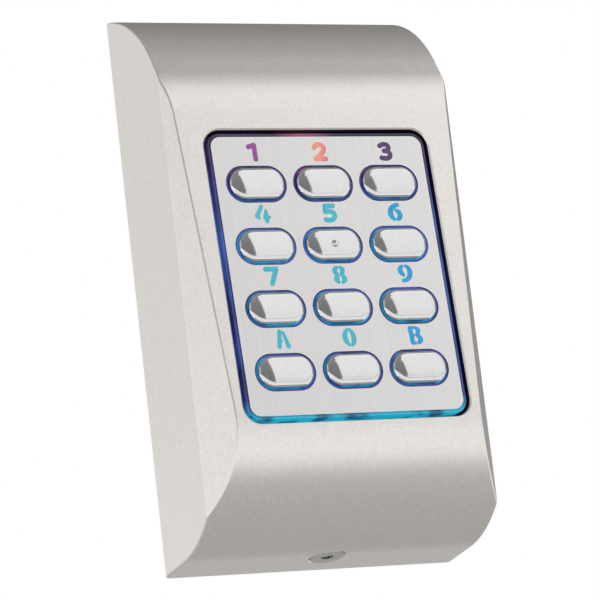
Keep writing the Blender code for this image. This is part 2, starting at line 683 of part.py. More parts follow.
def make_keymat(face, silicone):
    """Silicone sheet over the board, open round every plunger and every lamp."""
    wide = GRID_WIDTH + 2 * KEYMAT_MARGIN
    tall = GRID_HEIGHT + 2 * KEYMAT_MARGIN
    keymat = prism("keymat", moved(rectangle(wide, tall, PLATE_CORNER), 0.0, GRID_MIDDLE),
                   KEYMAT_BACK, KEYMAT_FACE, silicone, face)
    for name, x, y in key_places():
        cut(keymat, prism(f"mat_opening_{name}", moved(circle(PLUNGER_RADIUS + WEB_GAP, 12), x, y),
                          KEYMAT_BACK - FAR / 4, KEYMAT_FACE + FAR / 4, parent=face))
    for index, (x, y) in enumerate(lamp_places()):
        outline = rectangle(LED_SIZE[0] + 2 * REST_GAP, LED_SIZE[1] + 2 * REST_GAP)
        cut(keymat, prism(f"mat_lamp_opening_{index + 1}", moved(outline, x, y),
                          KEYMAT_BACK - FAR / 4, KEYMAT_FACE + FAR / 4, parent=face))
    return keymat


# ---------------------------------------------------------------- circuit board

def make_board(face, board, lamp, steel):
    wide = PCB_WIDTH
    tall = PCB_TOP - PCB_BOTTOM
    middle = (PCB_TOP + PCB_BOTTOM) / 2
    pcb = prism("pcb", moved(rectangle(wide, tall, PCB_CORNER, math.radians(30.0)), 0.0, middle),
                PCB_BACK, PCB_FACE, board, face)
    for index, (x, y) in enumerate(pcb_screw_places()):
        cut(pcb, prism(f"pcb_hole_{index + 1}",
                       moved(circle(PCB_SCREW_RADIUS + SLIP_GAP, 12), x, y),
                       PCB_BACK - FAR / 4, PCB_FACE + FAR / 4, parent=face))
        make_pcb_screw(index, x, y, face, steel)
    for index, (x, y) in enumerate(lamp_places()):
        base = PCB_FACE + SLIP_GAP
        prism(f"led_{index + 1}", moved(rectangle(LED_SIZE[0], LED_SIZE[1]), x, y),
              base, base + LED_SIZE[2], lamp, face)
    return pcb


def make_pcb_screw(index, x, y, face, steel):
    """Pan-head screw from the board's back into its boss."""
    radius, height = PCB_SCREW_HEAD
    under_head = PCB_BACK - SLIP_GAP
    turned(f"pcb_screw_{index + 1}",
           [(radius * 0.7, under_head - height), (radius, under_head - height * 0.6),
            (radius, under_head), (PCB_SCREW_RADIUS, under_head),
            (PCB_SCREW_RADIUS, PCB_BACK + PCB_SCREW_LENGTH - REST_GAP)],
           steel, face, Matrix.Translation((x, y, 0.0)), 12)


def board_part(name, size, x, y, face, surface):
    """Box-shaped part on the board's back."""
    return prism(name, moved(rectangle(size[0], size[1]), x, y), PARTS_FACE - size[2],
                 PARTS_FACE, surface, face)


def make_terminal_block(face, surface):
    """Screw terminal block: wires enter from above, screws are reached from the back."""
    y = PCB_BOTTOM + 2 * PCB_SCREW_INSET + TERMINAL[1] / 2
    block = board_part("terminal_block", TERMINAL, 0.0, y, face, surface)
    pitch = TERMINAL[0] / TERMINAL_WAYS
    for way in range(TERMINAL_WAYS):
        x = (way - (TERMINAL_WAYS - 1) / 2) * pitch
        wire = box(f"wire_entry_{way + 1}", (pitch * 0.6, TERMINAL[1], TERMINAL[2] * 0.35),
                   (x, y + TERMINAL[1] * 0.6, PARTS_FACE - TERMINAL[2] * 0.35), parent=face)
        driver = prism(f"driver_entry_{way + 1}",
                       moved(circle(pitch * 0.3, 8), x, y - TERMINAL[1] * 0.05),
                       PARTS_FACE - TERMINAL[2] - FAR / 4, PARTS_FACE - TERMINAL[2] * 0.8,
                       parent=face)
        cut(block, wire, driver)
    return block


def make_board_parts(face, surfaces):
    chip = surfaces["chip"]
    side = PCB_WIDTH / 2
    board_part("controller", CONTROLLER, side / 2, PITCH_Y, face, chip)
    board_part("regulator", REGULATOR, -side / 2, -PITCH_Y / 2, face, chip)
    radius, height = BUZZER
    buzzer_y = PCB_TOP - 2 * PCB_SCREW_INSET - radius
    turned("buzzer", [(radius, PARTS_FACE - height), (radius, PARTS_FACE)], chip, face,
           Matrix.Translation((-side / 2, buzzer_y, 0.0)))
    radius, height = CAPACITOR
    turned("capacitor", [(radius * 0.9, PARTS_FACE - height),
                         (radius, PARTS_FACE - height + radius * 0.15), (radius, PARTS_FACE)],
           surfaces["can"], face, Matrix.Translation((side / 2, -PITCH_Y, 0.0)), 16)
    make_terminal_block(face, surfaces["terminal"])


def tamper_place():
    return PCB_WIDTH / 4, PCB_TOP - 2 * PCB_SCREW_INSET - TAMPER[1]


def make_tamper_switch(face, chip, silicone):
    """Switch that senses the wall plate: a body with a bore and a sprung plunger in it."""
    x, y = tamper_place()
    switch = board_part("tamper_switch", TAMPER, x, y, face, chip)
    mouth = PARTS_FACE - TAMPER[2]
    bore_end = mouth + TAMPER[2] * 0.7
    cut(switch, prism("tamper_bore", moved(circle(TAMPER_PLUNGER_RADIUS + SLIP_GAP, 16), x, y),
                      mouth - FAR / 4, bore_end, parent=face))
    inner_end = bore_end - TAMPER_TRAVEL - REST_GAP
    height = GRID_Z + y * math.cos(FACE_TILT)
    reach = face_depth(height) - (PLATE_STEEL + REST_GAP) - TAMPER_PLUNGER_RADIUS * 0.2
    tip = -reach * math.cos(FACE_TILT)
    turned("tamper_plunger",
           [(TAMPER_PLUNGER_RADIUS * 0.5, tip),
            (TAMPER_PLUNGER_RADIUS, tip + TAMPER_PLUNGER_RADIUS / 2),
            (TAMPER_PLUNGER_RADIUS, inner_end)],
           silicone, face, Matrix.Translation((x, y, 0.0)), 16)


# ---------------------------------------------------------------- the whole part

def clear_scene():
    for item in list(bpy.data.objects):
        bpy.data.objects.remove(item, do_unlink=True)


def main():
    clear_scene()
    surfaces = make_materials()
    face = frame("face_frame", face_frame_place())
    screw = frame("screw_frame", screw_frame_place())
    make_housing(face, screw, surfaces["housing"])
    make_back_plate(screw, surfaces["steel"])
    make_rear_gasket(surfaces["rubber"])
    make_cable_grommet(surfaces["rubber"])
    make_security_screw(screw, surfaces["steel"])
    make_captive_nut(screw, surfaces["brass"])
    make_face_plate(face, surfaces["steel"])
    make_light_guide(face, surfaces["guide"])
    for name, x, y in key_places():
        make_key(name, x, y, face, surfaces["chrome"], surfaces["silicone"])
    make_keymat(face, surfaces["silicone"])
    make_board(face, surfaces["board"], surfaces["lamp"], surfaces["steel"])
    make_board_parts(face, surfaces)
    make_tamper_switch(face, surfaces["chip"], surfaces["silicone"])


main()
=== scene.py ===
"""Looks of the keypad access reader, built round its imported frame.

World frame: metres, +X right, +Z up, the face looks along -Y and the wall is y = 0.
Keypad pieces are drawn in the face frame: x right, y up the face, z out of the face, with
its origin on the housing's front face at the centre of the key grid.
"""

import json
import math

import bmesh
import bpy
from mathutils import Matrix, Vector
from mathutils.geometry import delaunay_2d_cdt

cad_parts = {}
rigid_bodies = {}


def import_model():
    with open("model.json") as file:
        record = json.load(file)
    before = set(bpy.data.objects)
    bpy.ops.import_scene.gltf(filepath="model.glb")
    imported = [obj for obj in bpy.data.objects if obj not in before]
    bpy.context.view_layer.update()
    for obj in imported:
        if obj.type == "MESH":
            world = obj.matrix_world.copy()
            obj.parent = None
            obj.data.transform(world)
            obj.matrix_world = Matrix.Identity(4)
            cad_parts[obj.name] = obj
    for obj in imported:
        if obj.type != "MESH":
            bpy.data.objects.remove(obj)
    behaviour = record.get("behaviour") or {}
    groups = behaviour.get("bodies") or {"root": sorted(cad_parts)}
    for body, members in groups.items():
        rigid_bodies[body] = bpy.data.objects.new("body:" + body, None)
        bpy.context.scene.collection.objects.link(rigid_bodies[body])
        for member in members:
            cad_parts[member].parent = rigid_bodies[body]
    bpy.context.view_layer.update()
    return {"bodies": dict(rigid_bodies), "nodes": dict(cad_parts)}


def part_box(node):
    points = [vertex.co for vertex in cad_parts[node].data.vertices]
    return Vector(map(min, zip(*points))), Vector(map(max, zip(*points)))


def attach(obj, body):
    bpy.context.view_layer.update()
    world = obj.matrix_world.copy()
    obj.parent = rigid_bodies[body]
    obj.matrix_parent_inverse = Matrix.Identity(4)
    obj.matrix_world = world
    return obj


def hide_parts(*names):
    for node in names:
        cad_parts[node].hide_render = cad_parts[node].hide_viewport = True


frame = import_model()

MM = 0.001
NODES = frame["nodes"]

# Form of the housing, as the CAD model has it
HOUSING_LOW, HOUSING_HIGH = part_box("housing")
WIDTH = HOUSING_HIGH.x - HOUSING_LOW.x
HEIGHT = HOUSING_HIGH.z - HOUSING_LOW.z
DEPTH = 25.0 * MM
FACE_TILT = math.radians(4.9)
BOTTOM_SLOPE = math.radians(8.5)
TOP_SLOPE = math.radians(8.5)
SHOULDER_SLOPE = math.radians(31.0)
SHOULDER_DROP = 17.0 * MM
CHIN_RADIUS = 20.0 * MM
SHOULDER_RADIUS = 18.0 * MM
CROWN_RADIUS = 23.0 * MM
CORNER_RADIUS = 1.0 * MM
RIDGE_DEPTH = 18.9 * MM
RIDGE_RADIUS = 0.9 * MM
BEVEL_ANGLE = math.radians(34.6)
WALL = 2.4 * MM
RIM = 1.6 * MM
POCKET_WALL = 1.5 * MM
LEDGE = 1.6 * MM
BOSS_RADIUS = 2.8 * MM

# Fine form of the casting: radius of its outer edges, the least turn that counts as an edge,
# the least step of its side outline, and the flare of its pocket
EDGE_RADIUS = 0.4 * MM
EDGE_TURN = math.radians(14.0)
STATION_GAP = 0.4 * MM
POCKET_FLARE = 0.25 * MM

# Gaps between pieces: those that slide and those that rest on each other
SLIP_GAP = 0.2 * MM
REST_GAP = 0.3 * MM

# Face plate and light guide
PLATE_CORNER = 1.8 * MM
GUIDE_RIM = 0.8 * MM
SEEN_RIM = 0.5 * MM
RIM_SOFTENING = 0.12 * MM
COLLAR_DROP = 0.12 * MM
COLLAR_GAP = 0.03 * MM
SMALL_FACE = 0.1 * MM * MM
GRID_Z = -2.2 * MM

# Characters: gap over their key's opening, move to the right, and growth
LABEL_GAP = 0.68 * MM
LABEL_SHIFT = 0.25 * MM
LABEL_STRETCH = 1.04
FILL_DROP = 0.08 * MM
FILL_GAP = 0.05 * MM

# Keys
KEY_GAP = 0.42 * MM
KEY_RISE = 0.35 * MM
KEY_CROWN = 0.6 * MM
KEY_LONG_RADIUS = 60.0 * MM
FLANGE_WIDTH = 0.65 * MM
FLANGE_THICKNESS = 0.6 * MM
CAP_CLEARANCE = 0.13 * MM
ROLL = 0.95 * MM
ROLL_SHARE = 0.86
ROLL_STEPS = 10
DOME_STEPS = 10
PIP_PROFILE = [(0.6 * MM, -0.15 * MM), (0.58 * MM, 0.05 * MM), (0.5 * MM, 0.2 * MM),
               (0.34 * MM, 0.32 * MM), (0.14 * MM, 0.38 * MM)]

# Security screw: a six-lobed drive round a pin, and the pad that it passes through
SCREW_FROM_WALL = 6.8 * MM
SCREW_PAD_RADIUS = 5.0 * MM
SCREW_PAD_HEIGHT = 3.6 * MM
SCREW_RADIUS = 1.5 * MM
SCREW_HEAD_RADIUS = 2.9 * MM
SCREW_HEAD_HEIGHT = 1.4 * MM
SCREW_LENGTH = 8.6 * MM
SCREW_SOFTENING = 0.15 * MM
SINK_LEAD = 0.15 * MM
DRIVE_DEPTH = 1.0 * MM
LOBE_COUNT = 6
LOBE_MIDDLE = 1.02
LOBE_SWING = 0.16
PIN_RADIUS = 0.42 * MM
PIN_TIP_RADIUS = 0.34 * MM

# Back of the housing: recess for the wall plate, and undercut for the plate's hook
RECESS_STEEL = 1.5 * MM
RECESS_GASKET = 1.1 * MM
RECESS_DEPTH = RECESS_STEEL + RECESS_GASKET + 2 * REST_GAP
HOOK_WIDTH = 12.0 * MM
HOOK_REACH = 4.4 * MM
HOOK_LIP = 1.4 * MM
HOOK_STEEL = 1.2 * MM

# How far a cutting solid runs past what it cuts
FAR = 6.0 * MM

# Camera: turns in degrees about its own axes, the reader's place in the camera's frame, and
# how far the reader's middle lies above the point that is placed there
CAMERA_YAW = -25.963
CAMERA_PITCH = -10.976
CAMERA_ROLL = -6.709
CAMERA_OFFSET = (-3.548 * MM, -0.407 * MM, 646.2 * MM)
CAMERA_LIFT = 0.6 * MM
SENSOR_WIDTH = 36.0
FOCAL_LENGTH = 232.6

# Floor, well below the reader
FLOOR_WIDTH = 1.2
FLOOR_TOP = -0.42
FLOOR_THICKNESS = 0.01

# Grey levels of the surroundings, as (direction's share along the axis, grey)
TABLE_TO_CEILING = [(-1.0, 1.3), (-0.5, 1.3), (-0.2, 1.1), (0.10, 1.1), (0.125, 0.24),
                    (1.0, 0.40)]
FRONT_TO_BACK = [(-1.0, 1.0), (0.0, 1.0), (0.5, 0.6), (1.0, 0.5)]


# ---------------------------------------------------------------- outlines

def meet(first, second):
    """Point where two lines (angle of the outward normal, distance from the origin) cross."""
    (a, c), (b, e) = first, second
    turn = math.sin(b - a)
    return ((c * math.sin(b) - e * math.sin(a)) / turn,
            (e * math.cos(a) - c * math.cos(b)) / turn)


def lined_outline(lines, radii, inset=0.0, step=math.radians(2.5)):
    """Closed convex outline bounded by lines, counter-clockwise, with rounded corners."""
    points = []
    for i, line in enumerate(lines):
        following = lines[(i + 1) % len(lines)]
        radius = max(radii[i] - inset, 0.0)
        pull = inset + radius
        centre = meet((line[0], line[1] - pull), (following[0], following[1] - pull))
        sweep = (following[0] - line[0]) % math.tau
        count = max(1, math.ceil(sweep / step)) if radius else 0
        for k in range(count + 1):
            angle = line[0] + (sweep * k / count if count else 0.0)
            points.append((centre[0] + radius * math.cos(angle),
                           centre[1] + radius * math.sin(angle)))
    return points


def rectangle(width, height, radius=0.0, step=math.radians(5.0)):
    lines = [(0.0, width / 2), (math.pi / 2, height / 2),
             (math.pi, width / 2), (-math.pi / 2, height / 2)]
    return lined_outline(lines, [radius] * 4, step=step)


def stadium(width, height, step=math.radians(5.0)):
    """Rectangle with ends rounded as far as leaves each corner its own points."""
    return rectangle(width, height, min(width, height) * 0.4995, step)


def circle(radius, count=64):
    return [(radius * math.cos(math.tau * k / count), radius * math.sin(math.tau * k / count))
            for k in range(count)]


def moved(points, dx, dy):
    return [(x + dx, y + dy) for x, y in points]


def face_line():
    """Front face, tangent to the chin, as (angle of the outward normal, distance)."""
    chin_d = DEPTH - CHIN_RADIUS
    drop = HEIGHT / 2 * math.cos(BOTTOM_SLOPE)
    chin_z = (chin_d * math.sin(BOTTOM_SLOPE) + CHIN_RADIUS - drop) / math.cos(BOTTOM_SLOPE)
    return FACE_TILT, chin_d * math.cos(FACE_TILT) + chin_z * math.sin(FACE_TILT) + CHIN_RADIUS


def face_depth(height):
    """Distance of the front face from the wall at a height."""
    angle, offset = face_line()
    return (offset - height * math.sin(angle)) / math.cos(angle)


def shoulder_line():
    """Slope that leaves the front face a given drop below the top."""
    height = HEIGHT / 2 - SHOULDER_DROP
    offset = face_depth(height) * math.cos(SHOULDER_SLOPE) + height * math.sin(SHOULDER_SLOPE)
    return SHOULDER_SLOPE, offset


def top_line():
    """Top, which falls away from its highest edge, the one at the wall."""
    return math.pi / 2 - TOP_SLOPE, HEIGHT / 2 * math.cos(TOP_SLOPE)


def profile(inset=0.0, back=0.0, step=math.radians(2.0)):
    """Side outline of the housing, as (distance from the wall, height)."""
    lines = [(BOTTOM_SLOPE - math.pi / 2, HEIGHT / 2 * math.cos(BOTTOM_SLOPE)),
             face_line(),
             shoulder_line(),
             top_line(),
             (math.pi, back + inset)]
    return lined_outline(lines, [CHIN_RADIUS, SHOULDER_RADIUS, CROWN_RADIUS, 0, 0], inset, step)


def section(inset=0.0):
    """Outline of the housing cut level, as (x, distance from the wall)."""
    bevel = WIDTH / 2 * math.cos(BEVEL_ANGLE) + RIDGE_DEPTH * math.sin(BEVEL_ANGLE)
    lines = [(0.0, WIDTH / 2), (BEVEL_ANGLE, bevel), (math.pi / 2, DEPTH + FAR),
             (math.pi - BEVEL_ANGLE, bevel), (math.pi, WIDTH / 2), (-math.pi / 2, FAR + inset)]
    ridge = RIDGE_RADIUS + inset
    return lined_outline(lines, [ridge, 0, 0, ridge, 0, 0], inset, math.radians(5.0))


# ---------------------------------------------------------------- mesh building

FACE_FRAME = (Matrix.Translation((0.0, -face_depth(GRID_Z), GRID_Z))
              @ Matrix.Rotation(math.pi / 2 - FACE_TILT, 4, "X"))
SCREW_FRAME = (Matrix.Translation((0.0, -SCREW_FROM_WALL,
                                   -HEIGHT / 2 + SCREW_FROM_WALL * math.tan(BOTTOM_SLOPE)))
               @ Matrix.Rotation(math.pi - BOTTOM_SLOPE, 4, "X"))
# Frames for prisms that run along x, up, and out from the wall
ALONG_X = Matrix(((0, 0, 1, 0), (-1, 0, 0, 0), (0, 1, 0, 0), (0, 0, 0, 1)))
UPRIGHT = Matrix(((1, 0, 0, 0), (0, -1, 0, 0), (0, 0, 1, 0), (0, 0, 0, 1)))
FROM_WALL = Matrix(((1, 0, 0, 0), (0, 0, -1, 0), (0, 1, 0, 0), (0, 0, 0, 1)))


def as_object(name, data, place=Matrix()):
    bmesh.ops.recalc_face_normals(data, faces=data.faces)
    mesh = bpy.data.meshes.new(name)
    data.to_mesh(mesh)
    data.free()
    piece = bpy.data.objects.new(name, mesh)
    bpy.context.scene.collection.objects.link(piece)
    piece.matrix_world = place
    return piece


def stacked(name, layers, place=Matrix()):
    """Solid through outlines of equal point count, given as (outline, z), lowest first."""
    data = bmesh.new()
    rings = [[data.verts.new((x, y, z)) for x, y in outline] for outline, z in layers]
    for lower, upper in zip(rings, rings[1:]):
        for k in range(len(lower)):
            after = (k + 1) % len(lower)
            data.faces.new((lower[k], lower[after], upper[after], upper[k]))
    data.faces.new(list(reversed(rings[0])))
    data.faces.new(rings[-1])
    return as_object(name, data, place)


def prism(name, outline, low, high, place=Matrix()):
    return stacked(name, [(outline, low), (outline, high)], place)


def turned(name, points, place=Matrix(), count=64):
    return stacked(name, [(circle(radius, count), z) for radius, z in points], place)


def bake(target):
    """Apply a piece's modifiers."""
    depsgraph = bpy.context.evaluated_depsgraph_get()
    mesh = bpy.data.meshes.new_from_object(target.evaluated_get(depsgraph))
    target.modifiers.clear()
    old = target.data
    target.data = mesh
    bpy.data.meshes.remove(old)
    return target


def combine(target, tools, operation="DIFFERENCE"):
    """Boolean of a piece with several tools, which are used up."""
    for tool in tools:
        step = target.modifiers.new(tool.name, "BOOLEAN")
        step.operation = operation
        step.object = tool
    bpy.context.view_layer.update()
    bake(target)
    for tool in tools:
        bpy.data.objects.remove(tool, do_unlink=True)
    return target


def clean(target, distance=0.01 * MM):
    """Join points that lie on each other."""
    data = bmesh.new()
    data.from_mesh(target.data)
    bmesh.ops.remove_doubles(data, verts=data.verts, dist=distance)
    data.to_mesh(target.data)
    data.free()
    return target


def cut_sheet(name, outlines, low, high, filled=False):
    """Flat sheet from the first outline, open wherever one of the others lies.

    A filled sheet covers every outline instead.
    """
    points = [Vector(point) for outline in outlines for point in outline]
    faces, start = [], 0
    for outline in outlines:
        faces.append(list(range(start, start + len(outline))))
        start += len(outline)
    found = delaunay_2d_cdt(points, [], faces, 0, 0.002 * MM)
    data = bmesh.new()
    corners = [data.verts.new((point.x, point.y, low)) for point in found[0]]
    for triangle, inside in zip(found[2], found[5]):
        if (filled and inside) or inside == [0]:
            data.faces.new([corners[index] for index in triangle])
    bmesh.ops.delete(data, geom=[v for v in data.verts if not v.link_faces], context="VERTS")
    bmesh.ops.remove_doubles(data, verts=data.verts, dist=0.01 * MM)
    grown = bmesh.ops.extrude_face_region(data, geom=list(data.faces))
    tops = [item for item in grown["geom"] if isinstance(item, bmesh.types.BMVert)]
    bmesh.ops.translate(data, verts=tops, vec=(0.0, 0.0, high - low))
    bmesh.ops.dissolve_limit(data, angle_limit=math.radians(1.0), verts=data.verts,
                             edges=data.edges)
    return as_object(name, data)


def soften(target, width, segments=3, angle=25.0):
    """Round the sharp edges of a piece."""
    bevel = target.modifiers.new("edges", "BEVEL")
    bevel.width = width
    bevel.segments = segments
    bevel.limit_method = "ANGLE"
    bevel.angle_limit = math.radians(angle)
    bevel.use_clamp_overlap = True
    bevel.harden_normals = False
    return target


def smooth(target, angle=40.0):
    target.data.shade_smooth()
    target.data.set_sharp_from_angle(angle=math.radians(angle))
    weighted = target.modifiers.new("normals", "WEIGHTED_NORMAL")
    weighted.keep_sharp = True
    weighted.weight = 80
    return target


# ---------------------------------------------------------------- node materials

class Tree:
    """Small helper that builds a node tree."""

    def __init__(self, tree):
        self.tree = tree

    def add(self, kind, **values):
        node = self.tree.nodes.new(kind)
        for key, value in values.items():
            setattr(node, key, value)
        return node

    def link(self, source, target):
        self.tree.links.new(source, target)

    def place(self, scale=(1.0, 1.0, 1.0)):
        """Object coordinates, stretched by a scale."""
        source = self.add("ShaderNodeTexCoord")
        mapping = self.add("ShaderNodeMapping")
        mapping.inputs["Scale"].default_value = scale
        self.link(source.outputs["Object"], mapping.inputs["Vector"])
        return mapping.outputs["Vector"]

    def noise(self, vector, scale, detail=2.0, roughness=0.5):
        node = self.add("ShaderNodeTexNoise")
        node.inputs["Scale"].default_value = scale
        node.inputs["Detail"].default_value = detail
        node.inputs["Roughness"].default_value = roughness
        self.link(vector, node.inputs["Vector"])
        return node.outputs["Fac"]

    def ramp(self, factor, stops):
        """Colour ramp through (position, colour) stops."""
        node = self.add("ShaderNodeValToRGB")
        elements = node.color_ramp.elements
        while len(elements) < len(stops):
            elements.new(0.5)
        for element, (position, colour) in zip(elements, stops):
            element.position = position
            element.color = (*colour, 1.0)
        self.link(factor, node.inputs["Fac"])
        return node.outputs["Color"]

    def spread(self, factor, low, high):
        """Map a 0 to 1 factor to a range."""
        node = self.add("ShaderNodeMapRange")
        node.inputs["To Min"].default_value = low
        node.inputs["To Max"].default_value = high
        self.link(factor, node.inputs["Value"])
        return node.outputs["Result"]

    def share(self, value, low, high):
        """Map a range to a 0 to 1 factor."""
        node = self.add("ShaderNodeMapRange")
        node.inputs["From Min"].default_value = low
        node.inputs["From Max"].default_value = high
        self.link(value, node.inputs["Value"])
        return node.outputs["Result"]

    def axes(self, vector):
        """The outputs X, Y and Z of a vector."""
        node = self.add("ShaderNodeSeparateXYZ")
        self.link(vector, node.inputs[0])
        return node.outputs

    def mix(self, factor, first, second, blend="MIX"):
        """Mix of two colours, each a socket or a colour, by a socket or a number."""
        node = self.add("ShaderNodeMix", data_type="RGBA", blend_type=blend)
        for index, value in ((0, factor), (6, first), (7, second)):
            if isinstance(value, bpy.types.NodeSocket):
                self.link(value, node.inputs[index])
            elif isinstance(value, tuple):
                node.inputs[index].default_value = (*value, 1.0)
            else:
                node.inputs[index].default_value = value
        return node.outputs[2]

    def math(self, operation, first, second=0.0):
        node = self.add("ShaderNodeMath", operation=operation)
        for socket, value in zip(node.inputs, (first, second)):
            if isinstance(value, bpy.types.NodeSocket):
                self.link(value, socket)
            else:
                socket.default_value = value
        return node.outputs[0]


class Nodes(Tree):
    """Node tree of one new material."""

    def __init__(self, name):
        self.material = bpy.data.materials.new(name)
        self.material.use_nodes = True
        super().__init__(self.material.node_tree)
        self.shader = self.tree.nodes["Principled BSDF"]

    def set(self, **values):
        for key, value in values.items():
            self.shader.inputs[key.replace("_", " ")].default_value = value
        return self

    def bump(self, height, distance, strength=1.0):
        node = self.add("ShaderNodeBump")
        node.inputs["Distance"].default_value = distance
        node.inputs["Strength"].default_value = strength
        self.link(height, node.inputs["Height"])
        self.link(node.outputs["Normal"], self.shader.inputs["Normal"])
        return self


def paint():
    """Satin pearl-silver paint: fine flakes under a thin clear coat."""
    n = Nodes("pearl_paint")
    n.set(Metallic=0.85, Coat_Weight=0.15, Coat_Roughness=0.25)
    vector = n.place()
    flake = n.noise(vector, 4200.0, 2.0, 0.7)
    cloud = n.noise(vector, 1300.0, 1.0)
    colour = n.ramp(flake, [(0.32, (0.70, 0.665, 0.63)), (0.68, (0.84, 0.805, 0.77))])
    colour = n.mix(0.25, colour, n.ramp(cloud, [(0.35, (0.70, 0.67, 0.635)),
                                               (0.65, (0.84, 0.805, 0.77))]))
    n.link(colour, n.shader.inputs["Base Color"])
    n.link(n.spread(flake, 0.30, 0.42), n.shader.inputs["Roughness"])
    return n.bump(flake, 0.000008, 0.35).material


def brushed_steel(name, colour, along=1, roughness=(0.3, 0.42), fine=6000.0, depth=0.000004):
    """Steel brushed along one axis of the piece (0 is x, 1 is y, 2 is z)."""
    n = Nodes(name)
    n.set(Metallic=1.0)
    scale = [1.0, 1.0, 1.0]
    scale[along] = 0.012
    grain = n.noise(n.place(tuple(scale)), fine, 3.0, 0.6)
    dark = tuple(c * 0.9 for c in colour)
    n.link(n.ramp(grain, [(0.3, dark), (0.7, colour)]), n.shader.inputs["Base Color"])
    n.link(n.spread(grain, *roughness), n.shader.inputs["Roughness"])
    return n.bump(grain, depth, 0.6).material


def chrome():
    """Polished steel of the keys, with a slight haze drawn along each key."""
    n = Nodes("polished_key")
    n.set(Metallic=1.0)
    haze = n.noise(n.place((1.0, 0.2, 1.0)), 4000.0, 2.0)
    n.link(n.ramp(haze, [(0.3, (0.62, 0.62, 0.62)), (0.7, (0.66, 0.66, 0.665))]),
           n.shader.inputs["Base Color"])
    n.link(n.spread(haze, 0.05, 0.11), n.shader.inputs["Roughness"])
    return n.material


def plain(name, colour, roughness, speck=400.0, depth=0.00002, metallic=0.0, variation=0.85):
    """Moulded or rubber surface: slight mottling and a fine grain."""
    n = Nodes(name)
    n.set(Metallic=metallic)
    grain = n.noise(n.place(), speck * 10.0, 3.0)
    dark = tuple(c * variation for c in colour)
    n.link(n.ramp(grain, [(0.35, dark), (0.65, colour)]), n.shader.inputs["Base Color"])
    n.link(n.spread(grain, roughness * 0.9, min(1.0, roughness * 1.1)),
           n.shader.inputs["Roughness"])
    return n.bump(grain, depth, 0.4).material


def lit_guide():
    """Clear acrylic lit from behind: cyan and blue, with a warm spot at the top middle."""
    n = Nodes("lit_guide")
    n.set(Roughness=0.25, Emission_Strength=1.0)
    coordinates = n.add("ShaderNodeTexCoord").outputs["Object"]
    height = n.share(n.axes(coordinates)["Y"], PLATE_LOW, PLATE_HIGH)
    glow = n.ramp(height, [(0.0, (0.01, 0.30, 0.60)), (0.3, (0.01, 0.38, 0.60)),
                           (0.5, (0.02, 0.36, 0.60)), (0.74, (0.02, 0.30, 0.58)),
                           (0.80, (0.03, 0.06, 0.34)), (0.88, (0.08, 0.015, 0.10)),
                           (1.0, (0.10, 0.02, 0.10))])
    blotch = n.noise(coordinates, 330.0, 1.0)
    shade = n.ramp(blotch, [(0.40, (0.6, 0.22, 0.45)), (0.60, (1.0, 1.0, 1.0))])
    glow = n.mix(0.85, glow, shade, "MULTIPLY")
    spot = n.add("ShaderNodeVectorMath", operation="DISTANCE")
    n.link(coordinates, spot.inputs[0])
    spot.inputs[1].default_value = (-0.5 * MM, PLATE_HIGH - 3.0 * MM, PLATE_FACE)
    near = n.math("DIVIDE", spot.outputs["Value"], 7.0 * MM)
    warm = n.ramp(near, [(0.0, (0.95, 0.72, 0.22)), (0.12, (0.92, 0.45, 0.35)),
                         (0.3, (0.75, 0.10, 0.22)), (0.7, (0.16, 0.02, 0.14))])
    mask = n.ramp(near, [(0.3, (1.0, 1.0, 1.0)), (0.9, (0.0, 0.0, 0.0))])
    glow = n.mix(mask, glow, warm)
    n.link(glow, n.shader.inputs["Emission Color"])
    n.link(n.mix(0.8, glow, (0.0, 0.0, 0.0)), n.shader.inputs["Base Color"])
    return n.material


def character_glow():
    """Diffusing acrylic in the characters: teal, cyan at the right, purple in the top row."""
    n = Nodes("character_glow")
    n.set(Roughness=0.35, Emission_Strength=1.0)
    coordinates = n.add("ShaderNodeTexCoord").outputs["Object"]
    axes = n.axes(coordinates)
    across = n.share(axes["X"], -PLATE_WIDTH / 2, PLATE_WIDTH / 2)
    lower = n.ramp(across, [(0.0, (0.05, 0.40, 0.48)), (0.62, (0.05, 0.41, 0.48)),
                            (0.8, (0.01, 0.30, 0.55)), (1.0, (0.01, 0.27, 0.55))])
    upper = n.ramp(across, [(0.0, (0.26, 0.05, 0.26)), (0.3, (0.27, 0.05, 0.25)),
                            (0.45, (0.75, 0.42, 0.13)), (0.55, (0.72, 0.12, 0.22)),
                            (0.72, (0.09, 0.035, 0.13)), (1.0, (0.07, 0.03, 0.12))])
    top_row = n.math("GREATER_THAN", axes["Y"], PLATE_HIGH - 6.0 * MM)
    glow = n.mix(top_row, lower, upper)
    blotch = n.noise(coordinates, 900.0, 2.0)
    glow = n.mix(0.6, glow, n.ramp(blotch, [(0.35, (0.6, 0.75, 0.9)), (0.6, (1.0, 1.0, 1.0))]),
                 "MULTIPLY")
    n.link(glow, n.shader.inputs["Emission Color"])
    n.link(n.mix(0.85, glow, (0.0, 0.0, 0.0)), n.shader.inputs["Base Color"])
    return n.material


